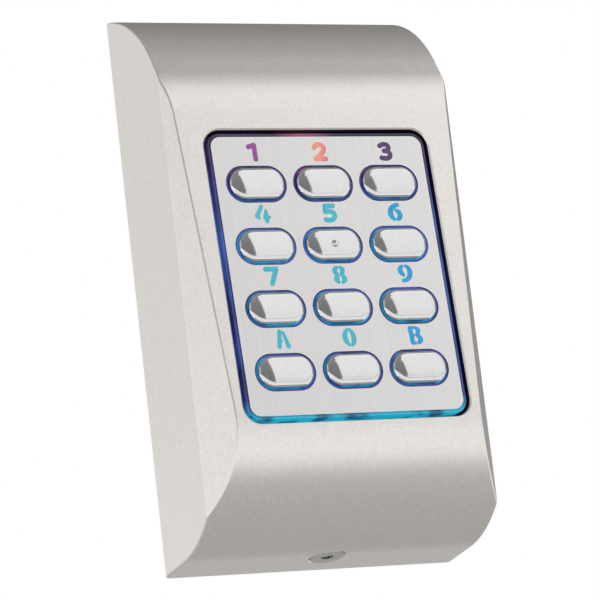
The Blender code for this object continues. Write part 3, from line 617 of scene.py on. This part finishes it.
def rim_glow():
    """Polished edge of the light guide: nearly black, with blue sides and a cyan bottom."""
    n = Nodes("guide_rim")
    n.set(Roughness=0.12, Emission_Strength=1.0, Base_Color=(0.01, 0.012, 0.03, 1.0))
    coordinates = n.add("ShaderNodeTexCoord").outputs["Object"]
    axes = n.axes(coordinates)
    height = n.share(axes["Y"], PLATE_LOW, PLATE_HIGH)
    glow = n.ramp(height, [(0.0, (0.01, 0.36, 0.52)), (0.02, (0.01, 0.16, 0.36)),
                           (0.06, (0.02, 0.03, 0.18)), (0.6, (0.03, 0.075, 0.30)),
                           (0.8, (0.02, 0.03, 0.16)), (0.95, (0.035, 0.01, 0.07)),
                           (1.0, (0.005, 0.005, 0.02))])
    streak = n.noise(n.place((1.0, 0.35, 1.0)), 300.0, 3.0)
    glow = n.mix(0.85, glow, n.ramp(streak, [(0.38, (0.15, 0.12, 0.25)),
                                            (0.55, (1.0, 1.0, 1.0))]), "MULTIPLY")
    across = n.share(axes["X"], -PLATE_WIDTH / 2, PLATE_WIDTH / 2)
    top = n.ramp(across, [(0.0, (0.0, 0.0, 0.0)), (0.08, (0.05, 0.015, 0.08)),
                          (0.3, (0.01, 0.005, 0.03)), (0.42, (0.30, 0.05, 0.12)),
                          (0.5, (0.22, 0.04, 0.12)), (0.58, (0.01, 0.01, 0.05)),
                          (1.0, (0.0, 0.0, 0.01))])
    at_top = n.ramp(height, [(0.985, (0.0, 0.0, 0.0)), (1.0, (1.0, 1.0, 1.0))])
    glow = n.mix(at_top, glow, top)
    n.link(glow, n.shader.inputs["Emission Color"])
    return n.material


# ---------------------------------------------------------------- keypad layout from the frame

def face_box(node):
    """Lowest and highest corner of a CAD node in the face frame."""
    back = FACE_FRAME.inverted()
    points = [back @ vertex.co for vertex in NODES[node].data.vertices]
    low = Vector([min(p[axis] for p in points) for axis in range(3)])
    high = Vector([max(p[axis] for p in points) for axis in range(3)])
    return low, high


KEYS = [body.removeprefix("key_") for body in frame["bodies"] if body.startswith("key_")]
PLATE_LOW_CORNER, PLATE_HIGH_CORNER = face_box("face_plate")
PLATE_LOW = PLATE_LOW_CORNER.y
PLATE_HIGH = PLATE_HIGH_CORNER.y
PLATE_MIDDLE = (PLATE_LOW + PLATE_HIGH) / 2
PLATE_WIDTH = PLATE_HIGH_CORNER.x - PLATE_LOW_CORNER.x
PLATE_HEIGHT = PLATE_HIGH - PLATE_LOW
PLATE_FACE = PLATE_HIGH_CORNER.z
PLATE_BACK = PLATE_LOW_CORNER.z
GUIDE_FACE = PLATE_BACK - SLIP_GAP
GUIDE_BACK = face_box("light_guide")[0].z
POCKET_FLOOR = GUIDE_BACK - REST_GAP
POCKET_MARGIN = GUIDE_RIM + 2 * SLIP_GAP
KEY_BOXES = {name: face_box(f"key_cap_{name}") for name in KEYS}
KEY_SIZE = KEY_BOXES["5"][1] - KEY_BOXES["5"][0]
KEY_WIDTH = KEY_SIZE.x - 2 * FLANGE_WIDTH
KEY_HEIGHT = KEY_SIZE.y - 2 * FLANGE_WIDTH
FLANGE_BACK = KEY_BOXES["5"][0].z
FLANGE_FACE = FLANGE_BACK + FLANGE_THICKNESS
OPENING_WIDTH = KEY_WIDTH + 2 * KEY_GAP
OPENING_HEIGHT = KEY_HEIGHT + 2 * KEY_GAP
KEY_CENTRES = {name: ((low.x + high.x) / 2, (low.y + high.y) / 2)
               for name, (low, high) in KEY_BOXES.items()}


# ---------------------------------------------------------------- housing

def body(name, inset=0.0, back=0.0):
    """Housing's outer form, or its inner form at an inset: side profile by level section."""
    half_width = WIDTH / 2 + FAR
    half_height = HEIGHT / 2 + FAR
    shape = prism(name, profile(inset, back), -half_width, half_width, ALONG_X)
    level = prism(name + "_section", section(inset), -half_height, half_height, UPRIGHT)
    return combine(shape, [level], "INTERSECT")


def profile_stations():
    """Points of the side outline from the wall round the front and back to the wall.

    A station is added on both sides where the outline passes the ridge's depth.
    """
    outline = profile()
    start = outline.index(min(outline, key=lambda p: (round(p[0], 6), p[1])))
    ordered = outline[start:] + outline[:start]
    stations = [ordered[0]]
    for point in ordered[1:]:
        last = stations[-1]
        if (last[0] - RIDGE_DEPTH) * (point[0] - RIDGE_DEPTH) < 0:
            share = (RIDGE_DEPTH - last[0]) / (point[0] - last[0])
            crossing = (RIDGE_DEPTH, last[1] + (point[1] - last[1]) * share)
            if math.dist(last, crossing) < STATION_GAP:
                stations.pop()
            stations.append(crossing)
        if math.dist(stations[-1], point) > STATION_GAP:
            stations.append(point)
    return stations


def crease_x(depth):
    """Half width of the front surface at a distance from the wall."""
    bevel = WIDTH / 2 * math.cos(BEVEL_ANGLE) + RIDGE_DEPTH * math.sin(BEVEL_ANGLE)
    return min(WIDTH / 2, (bevel - depth * math.sin(BEVEL_ANGLE)) / math.cos(BEVEL_ANGLE))


def outer_form():
    """Housing's outer form: front strip, flat side bevels, flat sides and back."""
    stations = profile_stations()
    beyond = [k for k, (depth, _) in enumerate(stations) if depth >= RIDGE_DEPTH - 1e-9]
    first, last = beyond[0], beyond[-1]
    data = bmesh.new()
    left, right = ([data.verts.new((side * crease_x(depth), -depth, height))
                    for depth, height in stations] for side in (-1, 1))
    for k in range(len(stations) - 1):
        data.faces.new((left[k], right[k], right[k + 1], left[k + 1]))
    for run in (left, right):
        data.faces.new(run[:first + 1] + run[last:])
        data.faces.new(run[first:last + 1])
    data.faces.new((left[0], right[0], right[-1], left[-1]))
    return as_object("cast_housing", data)


def round_edges(target):
    """Round the outer edges by one radius, apart from those at the wall, which stay sharp."""
    weights = target.data.attributes.new("bevel_weight_edge", "FLOAT", "EDGE")
    data = bmesh.new()
    data.from_mesh(target.data)
    data.edges.ensure_lookup_table()
    for index, edge in enumerate(data.edges):
        turn = edge.calc_face_angle(0.0)
        at_wall = all(abs(vertex.co.y) < 1e-6 for vertex in edge.verts)
        if turn >= EDGE_TURN and not at_wall:
            weights.data[index].value = min(1.0, math.tan(turn / 2))
    data.free()
    rounding = target.modifiers.new("edges", "BEVEL")
    rounding.limit_method = "WEIGHT"
    rounding.width = EDGE_RADIUS
    rounding.segments = 5
    rounding.use_clamp_overlap = False
    bpy.context.view_layer.update()
    return bake(target)


def cavity_blocks():
    """What stands inside the cavity: the pocket's walls, four bosses and the screw's pad."""
    margin = POCKET_MARGIN + POCKET_WALL
    outline = rectangle(PLATE_WIDTH + 2 * margin, PLATE_HEIGHT + 2 * margin)
    blocks = [prism("pocket_block", moved(outline, 0.0, PLATE_MIDDLE),
                    POCKET_FLOOR - LEDGE + SLIP_GAP, FAR, FACE_FRAME)]
    board_front = face_box("pcb")[1].z
    for number in range(1, 5):
        low, high = face_box(f"pcb_screw_{number}")
        outline = moved(circle(BOSS_RADIUS), (low.x + high.x) / 2, (low.y + high.y) / 2)
        blocks.append(prism("boss", outline, board_front + REST_GAP, FAR, FACE_FRAME))
    blocks.append(prism("screw_pad", circle(SCREW_PAD_RADIUS), -SCREW_PAD_HEIGHT, FAR,
                        SCREW_FRAME))
    return blocks


def colour_housing(housing, surface, inside):
    """Paint all over, and a near-black painted shadow on the faces inside the keypad's pocket."""
    housing.data.materials.clear()
    housing.data.materials.append(surface)
    housing.data.materials.append(inside)
    half_wide = PLATE_WIDTH / 2 + POCKET_MARGIN + SLIP_GAP
    half_tall = PLATE_HEIGHT / 2 + POCKET_MARGIN + SLIP_GAP
    for face in housing.data.polygons:
        seat = FACE_FRAME.inverted() @ face.center
        framed = abs(seat.x) < half_wide and abs(seat.y - PLATE_MIDDLE) < half_tall
        # Faces inside the pocket, below the plate's face, get the near-black painted shadow that
        # stands for the dark gap round the light guide
        face.material_index = 1 if framed and seat.z < PLATE_FACE - SLIP_GAP / 2 else 0


def make_housing(surface, inside):
    """Cast shell, with its pocket for the keypad and its openings."""
    housing = round_edges(outer_form())
    cavity = body("cavity", WALL, FAR)
    combine(cavity, cavity_blocks())
    recess = prism("recess", rectangle(WIDTH - 2 * RIM, HEIGHT - 2 * RIM, CORNER_RADIUS),
                   -FAR, RECESS_DEPTH, FROM_WALL)
    combine(housing, [cavity, recess] + pocket_cutters() + [screw_sink(), hook_pocket()])
    clean(housing, 0.003 * MM)
    colour_housing(housing, surface, inside)
    return smooth(housing, 35.0)


def pocket_cutters():
    """Pocket for plate and guide, flared at the front, and the window through its floor."""
    wide = PLATE_WIDTH + 2 * POCKET_MARGIN
    tall = PLATE_HEIGHT + 2 * POCKET_MARGIN
    radius = PLATE_CORNER + POCKET_MARGIN
    flare = POCKET_FLARE
    low = rectangle(wide, tall, radius)
    wider = rectangle(wide + 2 * flare, tall + 2 * flare, radius + flare)
    far = rectangle(wide + 2 * FAR, tall + 2 * FAR, radius + FAR)
    layers = [(moved(low, 0.0, PLATE_MIDDLE), POCKET_FLOOR),
              (moved(low, 0.0, PLATE_MIDDLE), -flare),
              (moved(wider, 0.0, PLATE_MIDDLE), 0.0),
              (moved(far, 0.0, PLATE_MIDDLE), FAR - flare)]
    pocket = stacked("pocket", layers, FACE_FRAME)
    window = prism("window", moved(rectangle(wide - 2 * LEDGE, tall - 2 * LEDGE, PLATE_CORNER),
                                   0.0, PLATE_MIDDLE),
                   POCKET_FLOOR - LEDGE - FAR, POCKET_FLOOR + REST_GAP, FACE_FRAME)
    return [pocket, window]


def screw_sink():
    """Countersunk hole of the security screw."""
    head = SCREW_HEAD_RADIUS + SLIP_GAP
    shank = SCREW_RADIUS + SLIP_GAP
    depth = SCREW_HEAD_HEIGHT + SLIP_GAP
    lead = SINK_LEAD
    return turned("screw_sink", [(shank, -SCREW_PAD_HEIGHT - FAR), (shank, -depth),
                                 (head, -lead), (head + 2 * lead, lead), (head + 2 * lead, FAR)],
                  SCREW_FRAME)


def ceiling(distance):
    """Height of the top wall's inner surface at a distance from the wall."""
    slope, shoulder = shoulder_line()
    angle, top = top_line()
    start, centre = meet((slope, shoulder - CROWN_RADIUS), (angle, top - CROWN_RADIUS))
    radius = CROWN_RADIUS - WALL
    if distance < start + radius * math.cos(angle):
        return (top - WALL - distance * math.cos(angle)) / math.sin(angle)
    return centre + math.sqrt(radius ** 2 - (distance - start) ** 2)


def hook_pocket():
    """Undercut in the top wall that the wall plate's hook catches."""
    wide = HOOK_WIDTH + 4 * REST_GAP
    deep = HOOK_STEEL + 2 * REST_GAP
    tall = HOOK_LIP + 2 * REST_GAP
    end = -(RECESS_STEEL + HOOK_REACH)
    top = ceiling(RECESS_STEEL + HOOK_REACH + REST_GAP) + HOOK_LIP
    return prism("hook_pocket", rectangle(wide, deep), -tall / 2, tall / 2,
                 Matrix.Translation((0.0, end + HOOK_STEEL / 2, top - tall / 2)))


# ---------------------------------------------------------------- face plate and its characters

# Brush strokes of the characters: (x, y) or (x, y, half width) in mm, above the opening.
# A sharp stroke keeps its corners, a round one runs through its points as a smooth curve.
HALF = 0.41
GLYPHS = {
    "1": [("sharp", [(-0.68, 2.45), (0.3, 2.74), (0.3, 0.41)])],
    "2": [("round", [(-0.85, 2.3), (-0.45, 2.68), (0.2, 2.74), (0.75, 2.35), (0.7, 1.75),
                     (0.1, 1.1), (-0.8, 0.45)]),
          ("sharp", [(-0.8, 0.41), (0.9, 0.41)])],
    "3": [("round", [(-0.8, 2.5), (-0.2, 2.75), (0.5, 2.65), (0.72, 2.2), (0.45, 1.78),
                     (-0.15, 1.65)]),
          ("round", [(-0.15, 1.65), (0.5, 1.55), (0.85, 1.1), (0.65, 0.6), (0.0, 0.4),
                     (-0.75, 0.5)])],
    "4": [("sharp", [(-0.05, 2.8, 0.32), (-0.98, 1.25, 0.36), (-0.72, 0.98, 0.3)]),
          ("sharp", [(0.62, 2.15, 0.22), (0.55, 1.0, 0.52), (0.65, 0.38, 0.36)]),
          ("sharp", [(0.65, 1.05, 0.36), (1.18, 1.05, 0.22)])],
    "5": [("sharp", [(0.75, 2.74), (-0.6, 2.74), (-0.65, 1.75)]),
          ("round", [(-0.65, 1.75), (0.1, 1.85), (0.78, 1.55), (0.85, 0.95), (0.4, 0.48),
                     (-0.3, 0.4), (-0.75, 0.5)])],
    "6": [("round", [(0.6, 2.78, 0.34), (0.05, 2.62, 0.4), (-0.6, 2.1, 0.45),
                     (-0.8, 1.35, 0.48), (-0.6, 0.75, 0.42), (-0.22, 0.38, 0.26)]),
          ("round", [(0.2, 1.9, 0.26), (0.68, 1.55, 0.4), (0.82, 1.05, 0.44),
                     (0.62, 0.6, 0.4), (0.35, 0.38, 0.28)])],
    "7": [("sharp", [(-0.98, 2.74), (0.82, 2.74), (-0.15, 0.41)])],
    "8": [("round", [(-0.25, 2.8, 0.28), (-0.62, 2.45, 0.42), (-0.62, 2.0, 0.4),
                     (-0.35, 1.6, 0.38), (-0.45, 1.2, 0.45), (-0.55, 0.8, 0.45),
                     (-0.22, 0.36, 0.26)]),
          ("round", [(0.3, 2.8, 0.28), (0.68, 2.4, 0.4), (0.55, 1.95, 0.38),
                     (0.45, 1.6, 0.34), (0.75, 1.2, 0.4), (0.85, 0.8, 0.42),
                     (0.48, 0.38, 0.3)])],
    "9": [("round", [(-0.3, 2.8, 0.26), (-0.72, 2.4, 0.4), (-0.72, 1.85, 0.44),
                     (-0.3, 1.32, 0.28)]),
          ("round", [(0.3, 2.82, 0.26), (0.75, 2.4, 0.38), (0.88, 1.75, 0.46),
                     (0.7, 1.05, 0.42), (0.15, 0.55, 0.36), (-0.45, 0.42, 0.32)])],
    "A": [("sharp", [(-0.25, 2.78, 0.36), (-0.6, 0.38, 0.36)]),
          ("sharp", [(-0.45, 1.3, 0.36), (-0.1, 1.3, 0.22)]),
          ("sharp", [(0.35, 2.6, 0.26), (0.95, 0.38, 0.38)])],
    "0": [("round", [(-0.22, 2.82, 0.26), (-0.65, 2.2, 0.4), (-0.72, 1.5, 0.42),
                     (-0.5, 0.8, 0.4), (-0.08, 0.33, 0.26)]),
          ("round", [(0.22, 2.8, 0.26), (0.65, 2.2, 0.4), (0.78, 1.5, 0.42),
                     (0.68, 0.8, 0.4), (0.42, 0.33, 0.26)])],
    "B": [("sharp", [(-0.75, 2.72, 0.4), (-0.6, 0.42, 0.4)]),
          ("sharp", [(-0.6, 2.85, 0.28), (-0.25, 2.85, 0.26)]),
          ("sharp", [(-0.6, 1.62, 0.36), (-0.3, 1.6, 0.26)]),
          ("sharp", [(-0.5, 0.33, 0.28), (-0.12, 0.33, 0.26)]),
          ("round", [(0.18, 2.8, 0.26), (0.6, 2.45, 0.38), (0.5, 1.95, 0.36),
                     (0.35, 1.62, 0.34), (0.75, 1.2, 0.4), (0.82, 0.75, 0.42),
                     (0.45, 0.38, 0.3)])],
}


def spline(points, steps=5):
    """Catmull-Rom curve through points, any number of values each."""
    padded = [points[0]] + points + [points[-1]]
    curve = []
    for before, start, end, after in zip(padded, padded[1:], padded[2:], padded[3:]):
        for k in range(steps):
            t = k / steps
            curve.append(tuple(
                0.5 * (2 * b + (c - a) * t + (2 * a - 5 * b + 4 * c - d) * t ** 2
                       + (3 * b - a - 3 * c + d) * t ** 3)
                for a, b, c, d in zip(before, start, end, after)))
    return curve + [points[-1]]


def capsule(first, second, steps=10):
    """Outline round two discs, each (x, y, radius)."""
    start, end = Vector(first[:2]), Vector(second[:2])
    along = end - start
    turn = math.atan2(along.y, along.x)
    lean = math.asin(max(-1.0, min(1.0, (first[2] - second[2]) / along.length)))
    points = []
    for centre, radius, low, high in ((end, second[2], turn - math.pi / 2 + lean,
                                       turn + math.pi / 2 - lean),
                                      (start, first[2], turn + math.pi / 2 - lean,
                                       turn + 1.5 * math.pi + lean)):
        for k in range(steps + 1):
            angle = low + (high - low) * k / steps
            points.append((centre.x + radius * math.cos(angle),
                           centre.y + radius * math.sin(angle)))
    return points


def glyph_outlines(name):
    """Outlines of one character's strokes, in mm from the middle of its opening's top."""
    for kind, points in GLYPHS[name]:
        points = [(*point, HALF)[:3] for point in points]
        if kind == "round":
            points = spline(points)
        for first, second in zip(points, points[1:]):
            yield capsule(first, second)


def character_strokes():
    """Every stroke of every character, in place in the face frame."""
    for name, (x, y) in KEY_CENTRES.items():
        base = y + OPENING_HEIGHT / 2 + LABEL_GAP
        for stroke in glyph_outlines(name):
            yield [(x + LABEL_SHIFT + a * LABEL_STRETCH * MM, base + b * LABEL_STRETCH * MM)
                   for a, b in stroke]


def make_face_plate(surface):
    """Steel plate with its key openings and characters cut through."""
    outlines = [moved(rectangle(PLATE_WIDTH, PLATE_HEIGHT, PLATE_CORNER), 0.0, PLATE_MIDDLE)]
    outlines += [moved(stadium(OPENING_WIDTH, OPENING_HEIGHT), x, y)
                 for x, y in KEY_CENTRES.values()]
    outlines += character_strokes()
    plate = cut_sheet("cut_face_plate", outlines, PLATE_BACK, PLATE_FACE)
    plate.matrix_world = FACE_FRAME
    plate.data.materials.append(surface)
    return plate


def make_characters(surface):
    """Acrylic that fills the characters cut through the plate, a little below its face."""
    fill = cut_sheet("character_fill", list(character_strokes()), GUIDE_FACE + FILL_GAP,
                     PLATE_FACE - FILL_DROP, filled=True)
    fill.matrix_world = FACE_FRAME
    fill.data.materials.append(surface)
    return fill


def make_light_guide(surface, rim):
    """Clear sheet with a rim round the plate and a low collar in each key's gap."""
    inner_wide = PLATE_WIDTH + SLIP_GAP
    inner_tall = PLATE_HEIGHT + SLIP_GAP
    outer = rectangle(inner_wide + 2 * SEEN_RIM, inner_tall + 2 * SEEN_RIM,
                      PLATE_CORNER + SEEN_RIM)
    guide = prism("fine_light_guide", moved(outer, 0.0, PLATE_MIDDLE), GUIDE_BACK,
                  PLATE_FACE - SLIP_GAP / 2)
    tray = prism("tray", moved(rectangle(inner_wide, inner_tall, PLATE_CORNER), 0.0,
                               PLATE_MIDDLE), GUIDE_FACE, FAR)
    combine(guide, [tray])
    around = stadium(OPENING_WIDTH - 2 * COLLAR_GAP, OPENING_HEIGHT - 2 * COLLAR_GAP)
    for x, y in KEY_CENTRES.values():
        collar = prism("collar", moved(around, x, y), GUIDE_FACE - REST_GAP,
                       PLATE_FACE - COLLAR_DROP)
        combine(guide, [collar], "UNION")
        hole = prism("hole", moved(stadium(KEY_WIDTH, KEY_HEIGHT), x, y),
                     GUIDE_BACK - REST_GAP, PLATE_FACE + REST_GAP)
        combine(guide, [hole])
    guide.matrix_world = FACE_FRAME
    guide.data.materials.append(surface)
    guide.data.materials.append(rim)
    for face in guide.data.polygons:
        beside = abs(face.center.x) > PLATE_WIDTH / 2
        above = abs(face.center.y - PLATE_MIDDLE) > PLATE_HEIGHT / 2
        raised = face.center.z > PLATE_BACK and face.area > SMALL_FACE
        face.material_index = 1 if beside or above or raised else 0
    soften(guide, RIM_SOFTENING, 3, 50.0)
    guide.modifiers["edges"].use_clamp_overlap = False
    return smooth(guide, 50.0)


# ---------------------------------------------------------------- keys

def key_layers():
    """Stadium outlines up one key cap: flange, side, rolled edge and nearly flat top."""
    edge = PLATE_FACE + KEY_RISE
    step = math.radians(5.0)
    flange = stadium(KEY_SIZE.x, KEY_SIZE.y, step)
    wide, tall = KEY_WIDTH - 2 * CAP_CLEARANCE, KEY_HEIGHT - 2 * CAP_CLEARANCE
    side = stadium(wide, tall, step)
    layers = [(flange, FLANGE_BACK), (flange, FLANGE_FACE), (side, FLANGE_FACE)]
    roll_rise = KEY_CROWN * ROLL_SHARE
    for k in range(ROLL_STEPS + 1):
        angle = math.pi / 2 * k / ROLL_STEPS
        inset = ROLL * (1 - math.cos(angle))
        outline = stadium(wide - 2 * inset, tall - 2 * inset, step)
        layers.append((outline, edge + roll_rise * math.sin(angle)))
    reach = tall / 2 - ROLL
    for k in range(1, DOME_STEPS):
        share = k / DOME_STEPS
        inset = ROLL + reach * share
        outline = stadium(wide - 2 * inset, tall - 2 * inset, step)
        rise = (KEY_CROWN - roll_rise) * (1 - (1 - share) ** 2)
        layers.append((outline, edge + roll_rise + rise))
    return layers


def make_key(name, surface):
    """Polished cap, bent down a little towards its ends; the middle one has a pip."""
    cap_piece = stacked(f"fine_key_{name}", key_layers())
    for vertex in cap_piece.data.vertices:
        if vertex.co.z > PLATE_FACE + KEY_RISE:
            vertex.co.z -= vertex.co.x ** 2 / (2 * KEY_LONG_RADIUS)
    if name == "5":
        top = PLATE_FACE + KEY_RISE + KEY_CROWN
        pip = turned("pip", [(radius, top + z) for radius, z in PIP_PROFILE], count=32)
        combine(cap_piece, [pip], "UNION")
    x, y = KEY_CENTRES[name]
    cap_piece.matrix_world = FACE_FRAME @ Matrix.Translation((x, y, 0.0))
    cap_piece.data.materials.append(surface)
    cap_piece.data.shade_smooth()
    cap_piece.data.set_sharp_from_angle(angle=math.radians(50.0))
    return cap_piece


# ---------------------------------------------------------------- security screw

def lobed_outline(count=72):
    """Outline of the screw's drive."""
    points = []
    for k in range(count):
        angle = math.tau * k / count
        radius = (LOBE_MIDDLE + LOBE_SWING * math.cos(LOBE_COUNT * angle)) * MM
        points.append((radius * math.cos(angle), radius * math.sin(angle)))
    return points


def make_screw(surface):
    """Countersunk screw with a six-lobed drive round a pin."""
    soft = SCREW_SOFTENING
    screw = turned("fine_security_screw",
                   [(SCREW_RADIUS * 0.7, -SCREW_LENGTH),
                    (SCREW_RADIUS, -SCREW_LENGTH + SCREW_RADIUS / 2),
                    (SCREW_RADIUS, -SCREW_HEAD_HEIGHT),
                    (SCREW_HEAD_RADIUS, -SLIP_GAP / 2 - soft),
                    (SCREW_HEAD_RADIUS, -soft),
                    (SCREW_HEAD_RADIUS - soft * 0.3, -soft * 0.3),
                    (SCREW_HEAD_RADIUS - soft, 0.0)])
    combine(screw, [prism("drive", lobed_outline(), -DRIVE_DEPTH, FAR)])
    pin = turned("pin", [(PIN_RADIUS, -DRIVE_DEPTH - soft), (PIN_RADIUS, -0.35 * MM),
                         (PIN_TIP_RADIUS, -0.25 * MM)], count=32)
    combine(screw, [pin], "UNION")
    screw.matrix_world = SCREW_FRAME
    screw.data.materials.append(surface)
    return smooth(screw, 35.0)


# ---------------------------------------------------------------- stage, light and camera

def make_camera():
    """Camera left of, in front of and below the reader, rolled a little, as in the photograph."""
    yaw, pitch, roll = (math.radians(a) for a in (CAMERA_YAW, CAMERA_PITCH, CAMERA_ROLL))
    turn = (Matrix.Rotation(roll, 4, "Z") @ Matrix.Rotation(pitch, 4, "X")
            @ Matrix.Rotation(yaw, 4, "Y") @ FROM_WALL)
    offset = Matrix.Translation(CAMERA_OFFSET)
    lens = bpy.data.cameras.new("camera")
    lens.sensor_width = SENSOR_WIDTH
    lens.lens = FOCAL_LENGTH
    lens.clip_start = 0.01
    camera = bpy.data.objects.new("camera", lens)
    middle = Matrix.Translation((0.0, 0.0, CAMERA_LIFT))
    camera.matrix_world = (Matrix.Diagonal((1, -1, -1, 1)) @ offset @ turn @ middle).inverted()
    bpy.context.scene.collection.objects.link(camera)
    bpy.context.scene.camera = camera


def sky_grey(tree, direction, stops):
    """Grey level along one axis of the viewing direction, through (direction, grey) stops."""
    return tree.ramp(tree.share(direction, -1.0, 1.0),
                     [((place + 1) / 2, (grey, grey, grey)) for place, grey in stops])


def make_world():
    """White behind the object; for light and reflections a dim room over a bright table."""
    world = bpy.data.worlds.new("studio")
    bpy.context.scene.world = world
    world.use_nodes = True
    world.node_tree.nodes.clear()
    tree = Tree(world.node_tree)
    axes = tree.axes(tree.add("ShaderNodeTexCoord").outputs["Generated"])
    height = sky_grey(tree, axes["Z"], TABLE_TO_CEILING)
    depth = sky_grey(tree, axes["Y"], FRONT_TO_BACK)
    surround = tree.add("ShaderNodeBackground")
    tree.link(tree.mix(1.0, height, depth, "MULTIPLY"), surround.inputs["Color"])
    white = tree.add("ShaderNodeBackground")
    white.inputs["Color"].default_value = (1.0, 1.0, 1.0, 1.0)
    choose = tree.add("ShaderNodeMixShader")
    tree.link(tree.add("ShaderNodeLightPath").outputs["Is Camera Ray"], choose.inputs["Fac"])
    tree.link(surround.outputs[0], choose.inputs[1])
    tree.link(white.outputs[0], choose.inputs[2])
    output = tree.add("ShaderNodeOutputWorld")
    tree.link(choose.outputs[0], output.inputs["Surface"])


def softbox(name, azimuth, elevation, distance, size, brightness, roll=0.0):
    """Rectangular light that faces the object; azimuth 0 is in front and 90 at the right."""
    light = bpy.data.lights.new(name, "AREA")
    light.shape = "RECTANGLE"
    light.size, light.size_y = size
    light.energy = brightness * math.pi * size[0] * size[1]
    lamp = bpy.data.objects.new(name, light)
    around, up = math.radians(azimuth), math.radians(elevation)
    towards = Vector((math.sin(around) * math.cos(up), -math.cos(around) * math.cos(up),
                      math.sin(up)))
    facing = towards.to_track_quat("Z", "Y").to_matrix().to_4x4()
    lamp.matrix_world = (Matrix.Translation(towards * distance) @ facing
                         @ Matrix.Rotation(math.radians(roll), 4, "Z"))
    lamp.visible_camera = False
    bpy.context.scene.collection.objects.link(lamp)


def make_stage():
    """Pale floor, surroundings and soft lights."""
    floor = prism("floor", rectangle(FLOOR_WIDTH, FLOOR_WIDTH), FLOOR_TOP - FLOOR_THICKNESS,
                  FLOOR_TOP)
    n = Nodes("pale_floor")
    n.set(Roughness=0.7)
    grain = n.noise(n.place(), 60.0, 3.0)
    n.link(n.ramp(grain, [(0.3, (0.82, 0.81, 0.80)), (0.7, (0.86, 0.85, 0.84))]),
           n.shader.inputs["Base Color"])
    floor.data.materials.append(n.material)
    make_world()
    softbox("front_right", 48.0, 31.5, 1.1, (1.2, 1.0), 0.88, -4.0)
    softbox("left", -98.0, 18.0, 1.0, (1.3, 1.0), 0.50)
    softbox("left_strip", -118.0, 30.0, 1.0, (0.22, 1.3), 0.9)
    softbox("back_left", -160.0, 18.0, 1.1, (0.8, 0.9), 0.70)
    softbox("camera_left", -50.0, 12.0, 1.2, (0.2, 0.8), 0.5)
    bpy.context.scene.view_settings.view_transform = "Standard"


# ---------------------------------------------------------------- assembly

def make_looks():
    """Every material of the reader, by name."""
    return {
        "paint": paint(),
        "plate": brushed_steel("brushed_steel", (0.74, 0.73, 0.72), 1, (0.3, 0.42), 5000.0,
                               0.000003),
        "wall_plate": brushed_steel("zinc_steel", (0.62, 0.62, 0.61), 2, (0.35, 0.5), 3500.0),
        "chrome": chrome(),
        "guide": lit_guide(),
        "rim": rim_glow(),
        # Near-black painted shadow for the faces inside the keypad's pocket
        "pocket": plain("pocket_painted_shadow", (0.012, 0.012, 0.018), 0.4),
        "characters": character_glow(),
        "screw": brushed_steel("screw_steel", (0.55, 0.54, 0.52), 0, (0.3, 0.45), 5000.0),
        "rubber": plain("black_rubber", (0.035, 0.035, 0.036), 0.75, 350.0),
        "silicone": plain("silicone", (0.72, 0.74, 0.76), 0.55, 300.0),
        "board": plain("circuit_board", (0.02, 0.17, 0.08), 0.4, 250.0),
        "chip": plain("chip_black", (0.03, 0.03, 0.033), 0.5, 500.0),
        "lamp": plain("lamp_lens", (0.9, 0.88, 0.76), 0.25, 200.0),
        "terminal": plain("terminal_green", (0.04, 0.33, 0.18), 0.4, 300.0),
        "can": brushed_steel("capacitor_can", (0.75, 0.75, 0.77), 2, (0.25, 0.35), 3000.0),
        "brass": brushed_steel("nut_brass", (0.75, 0.55, 0.25), 2, (0.25, 0.4), 3000.0),
    }


def dress_nodes(looks):
    """Give every CAD node that stays its material and softened edges."""
    looks_by_start = {
        "back_plate": ("wall_plate", 0.2), "rear_gasket": ("rubber", 0.15),
        "cable_grommet": ("rubber", 0.2), "captive_nut": ("brass", 0.15),
        "key_plunger": ("silicone", 0.1), "keymat": ("silicone", 0.1),
        "pcb_screw": ("screw", 0.1), "pcb": ("board", 0.08), "led": ("lamp", 0.08),
        "controller": ("chip", 0.1), "regulator": ("chip", 0.1), "buzzer": ("chip", 0.2),
        "capacitor": ("can", 0.15), "terminal_block": ("terminal", 0.15),
        "tamper_switch": ("chip", 0.12), "tamper_plunger": ("silicone", 0.1),
        "housing": ("paint", 0.0), "face_plate": ("plate", 0.0), "light_guide": ("guide", 0.0),
        "key_cap": ("chrome", 0.0), "security_screw": ("screw", 0.0),
    }
    for name, node in NODES.items():
        start = max((s for s in looks_by_start if name.startswith(s)), key=len)
        look, edge = looks_by_start[start]
        node.data.materials.clear()
        node.data.materials.append(looks[look])
        if edge:
            soften(node, edge * MM, 2, 40.0)


def keep(piece, body_name, slot_name, *nodes):
    """Hang a piece on its body, in the place of its CAD nodes."""
    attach(piece, body_name)
    if nodes:
        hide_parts(*nodes)


looks = make_looks()
dress_nodes(looks)
keep(make_housing(looks["paint"], looks["pocket"]), "reader", "housing_paint", "housing")
keep(make_face_plate(looks["plate"]), "reader", "face_plate_steel", "face_plate")
keep(make_light_guide(looks["guide"], looks["rim"]), "reader", "light_guide", "light_guide")
keep(make_characters(looks["characters"]), "reader", "light_guide")
keep(make_screw(looks["screw"]), "reader", "screw_steel", "security_screw")
for key_name in KEYS:
    keep(make_key(key_name, looks["chrome"]), f"key_{key_name}", "key_chrome",
         f"key_cap_{key_name}")
make_stage()
make_camera()

bpy.context.view_layer.update()
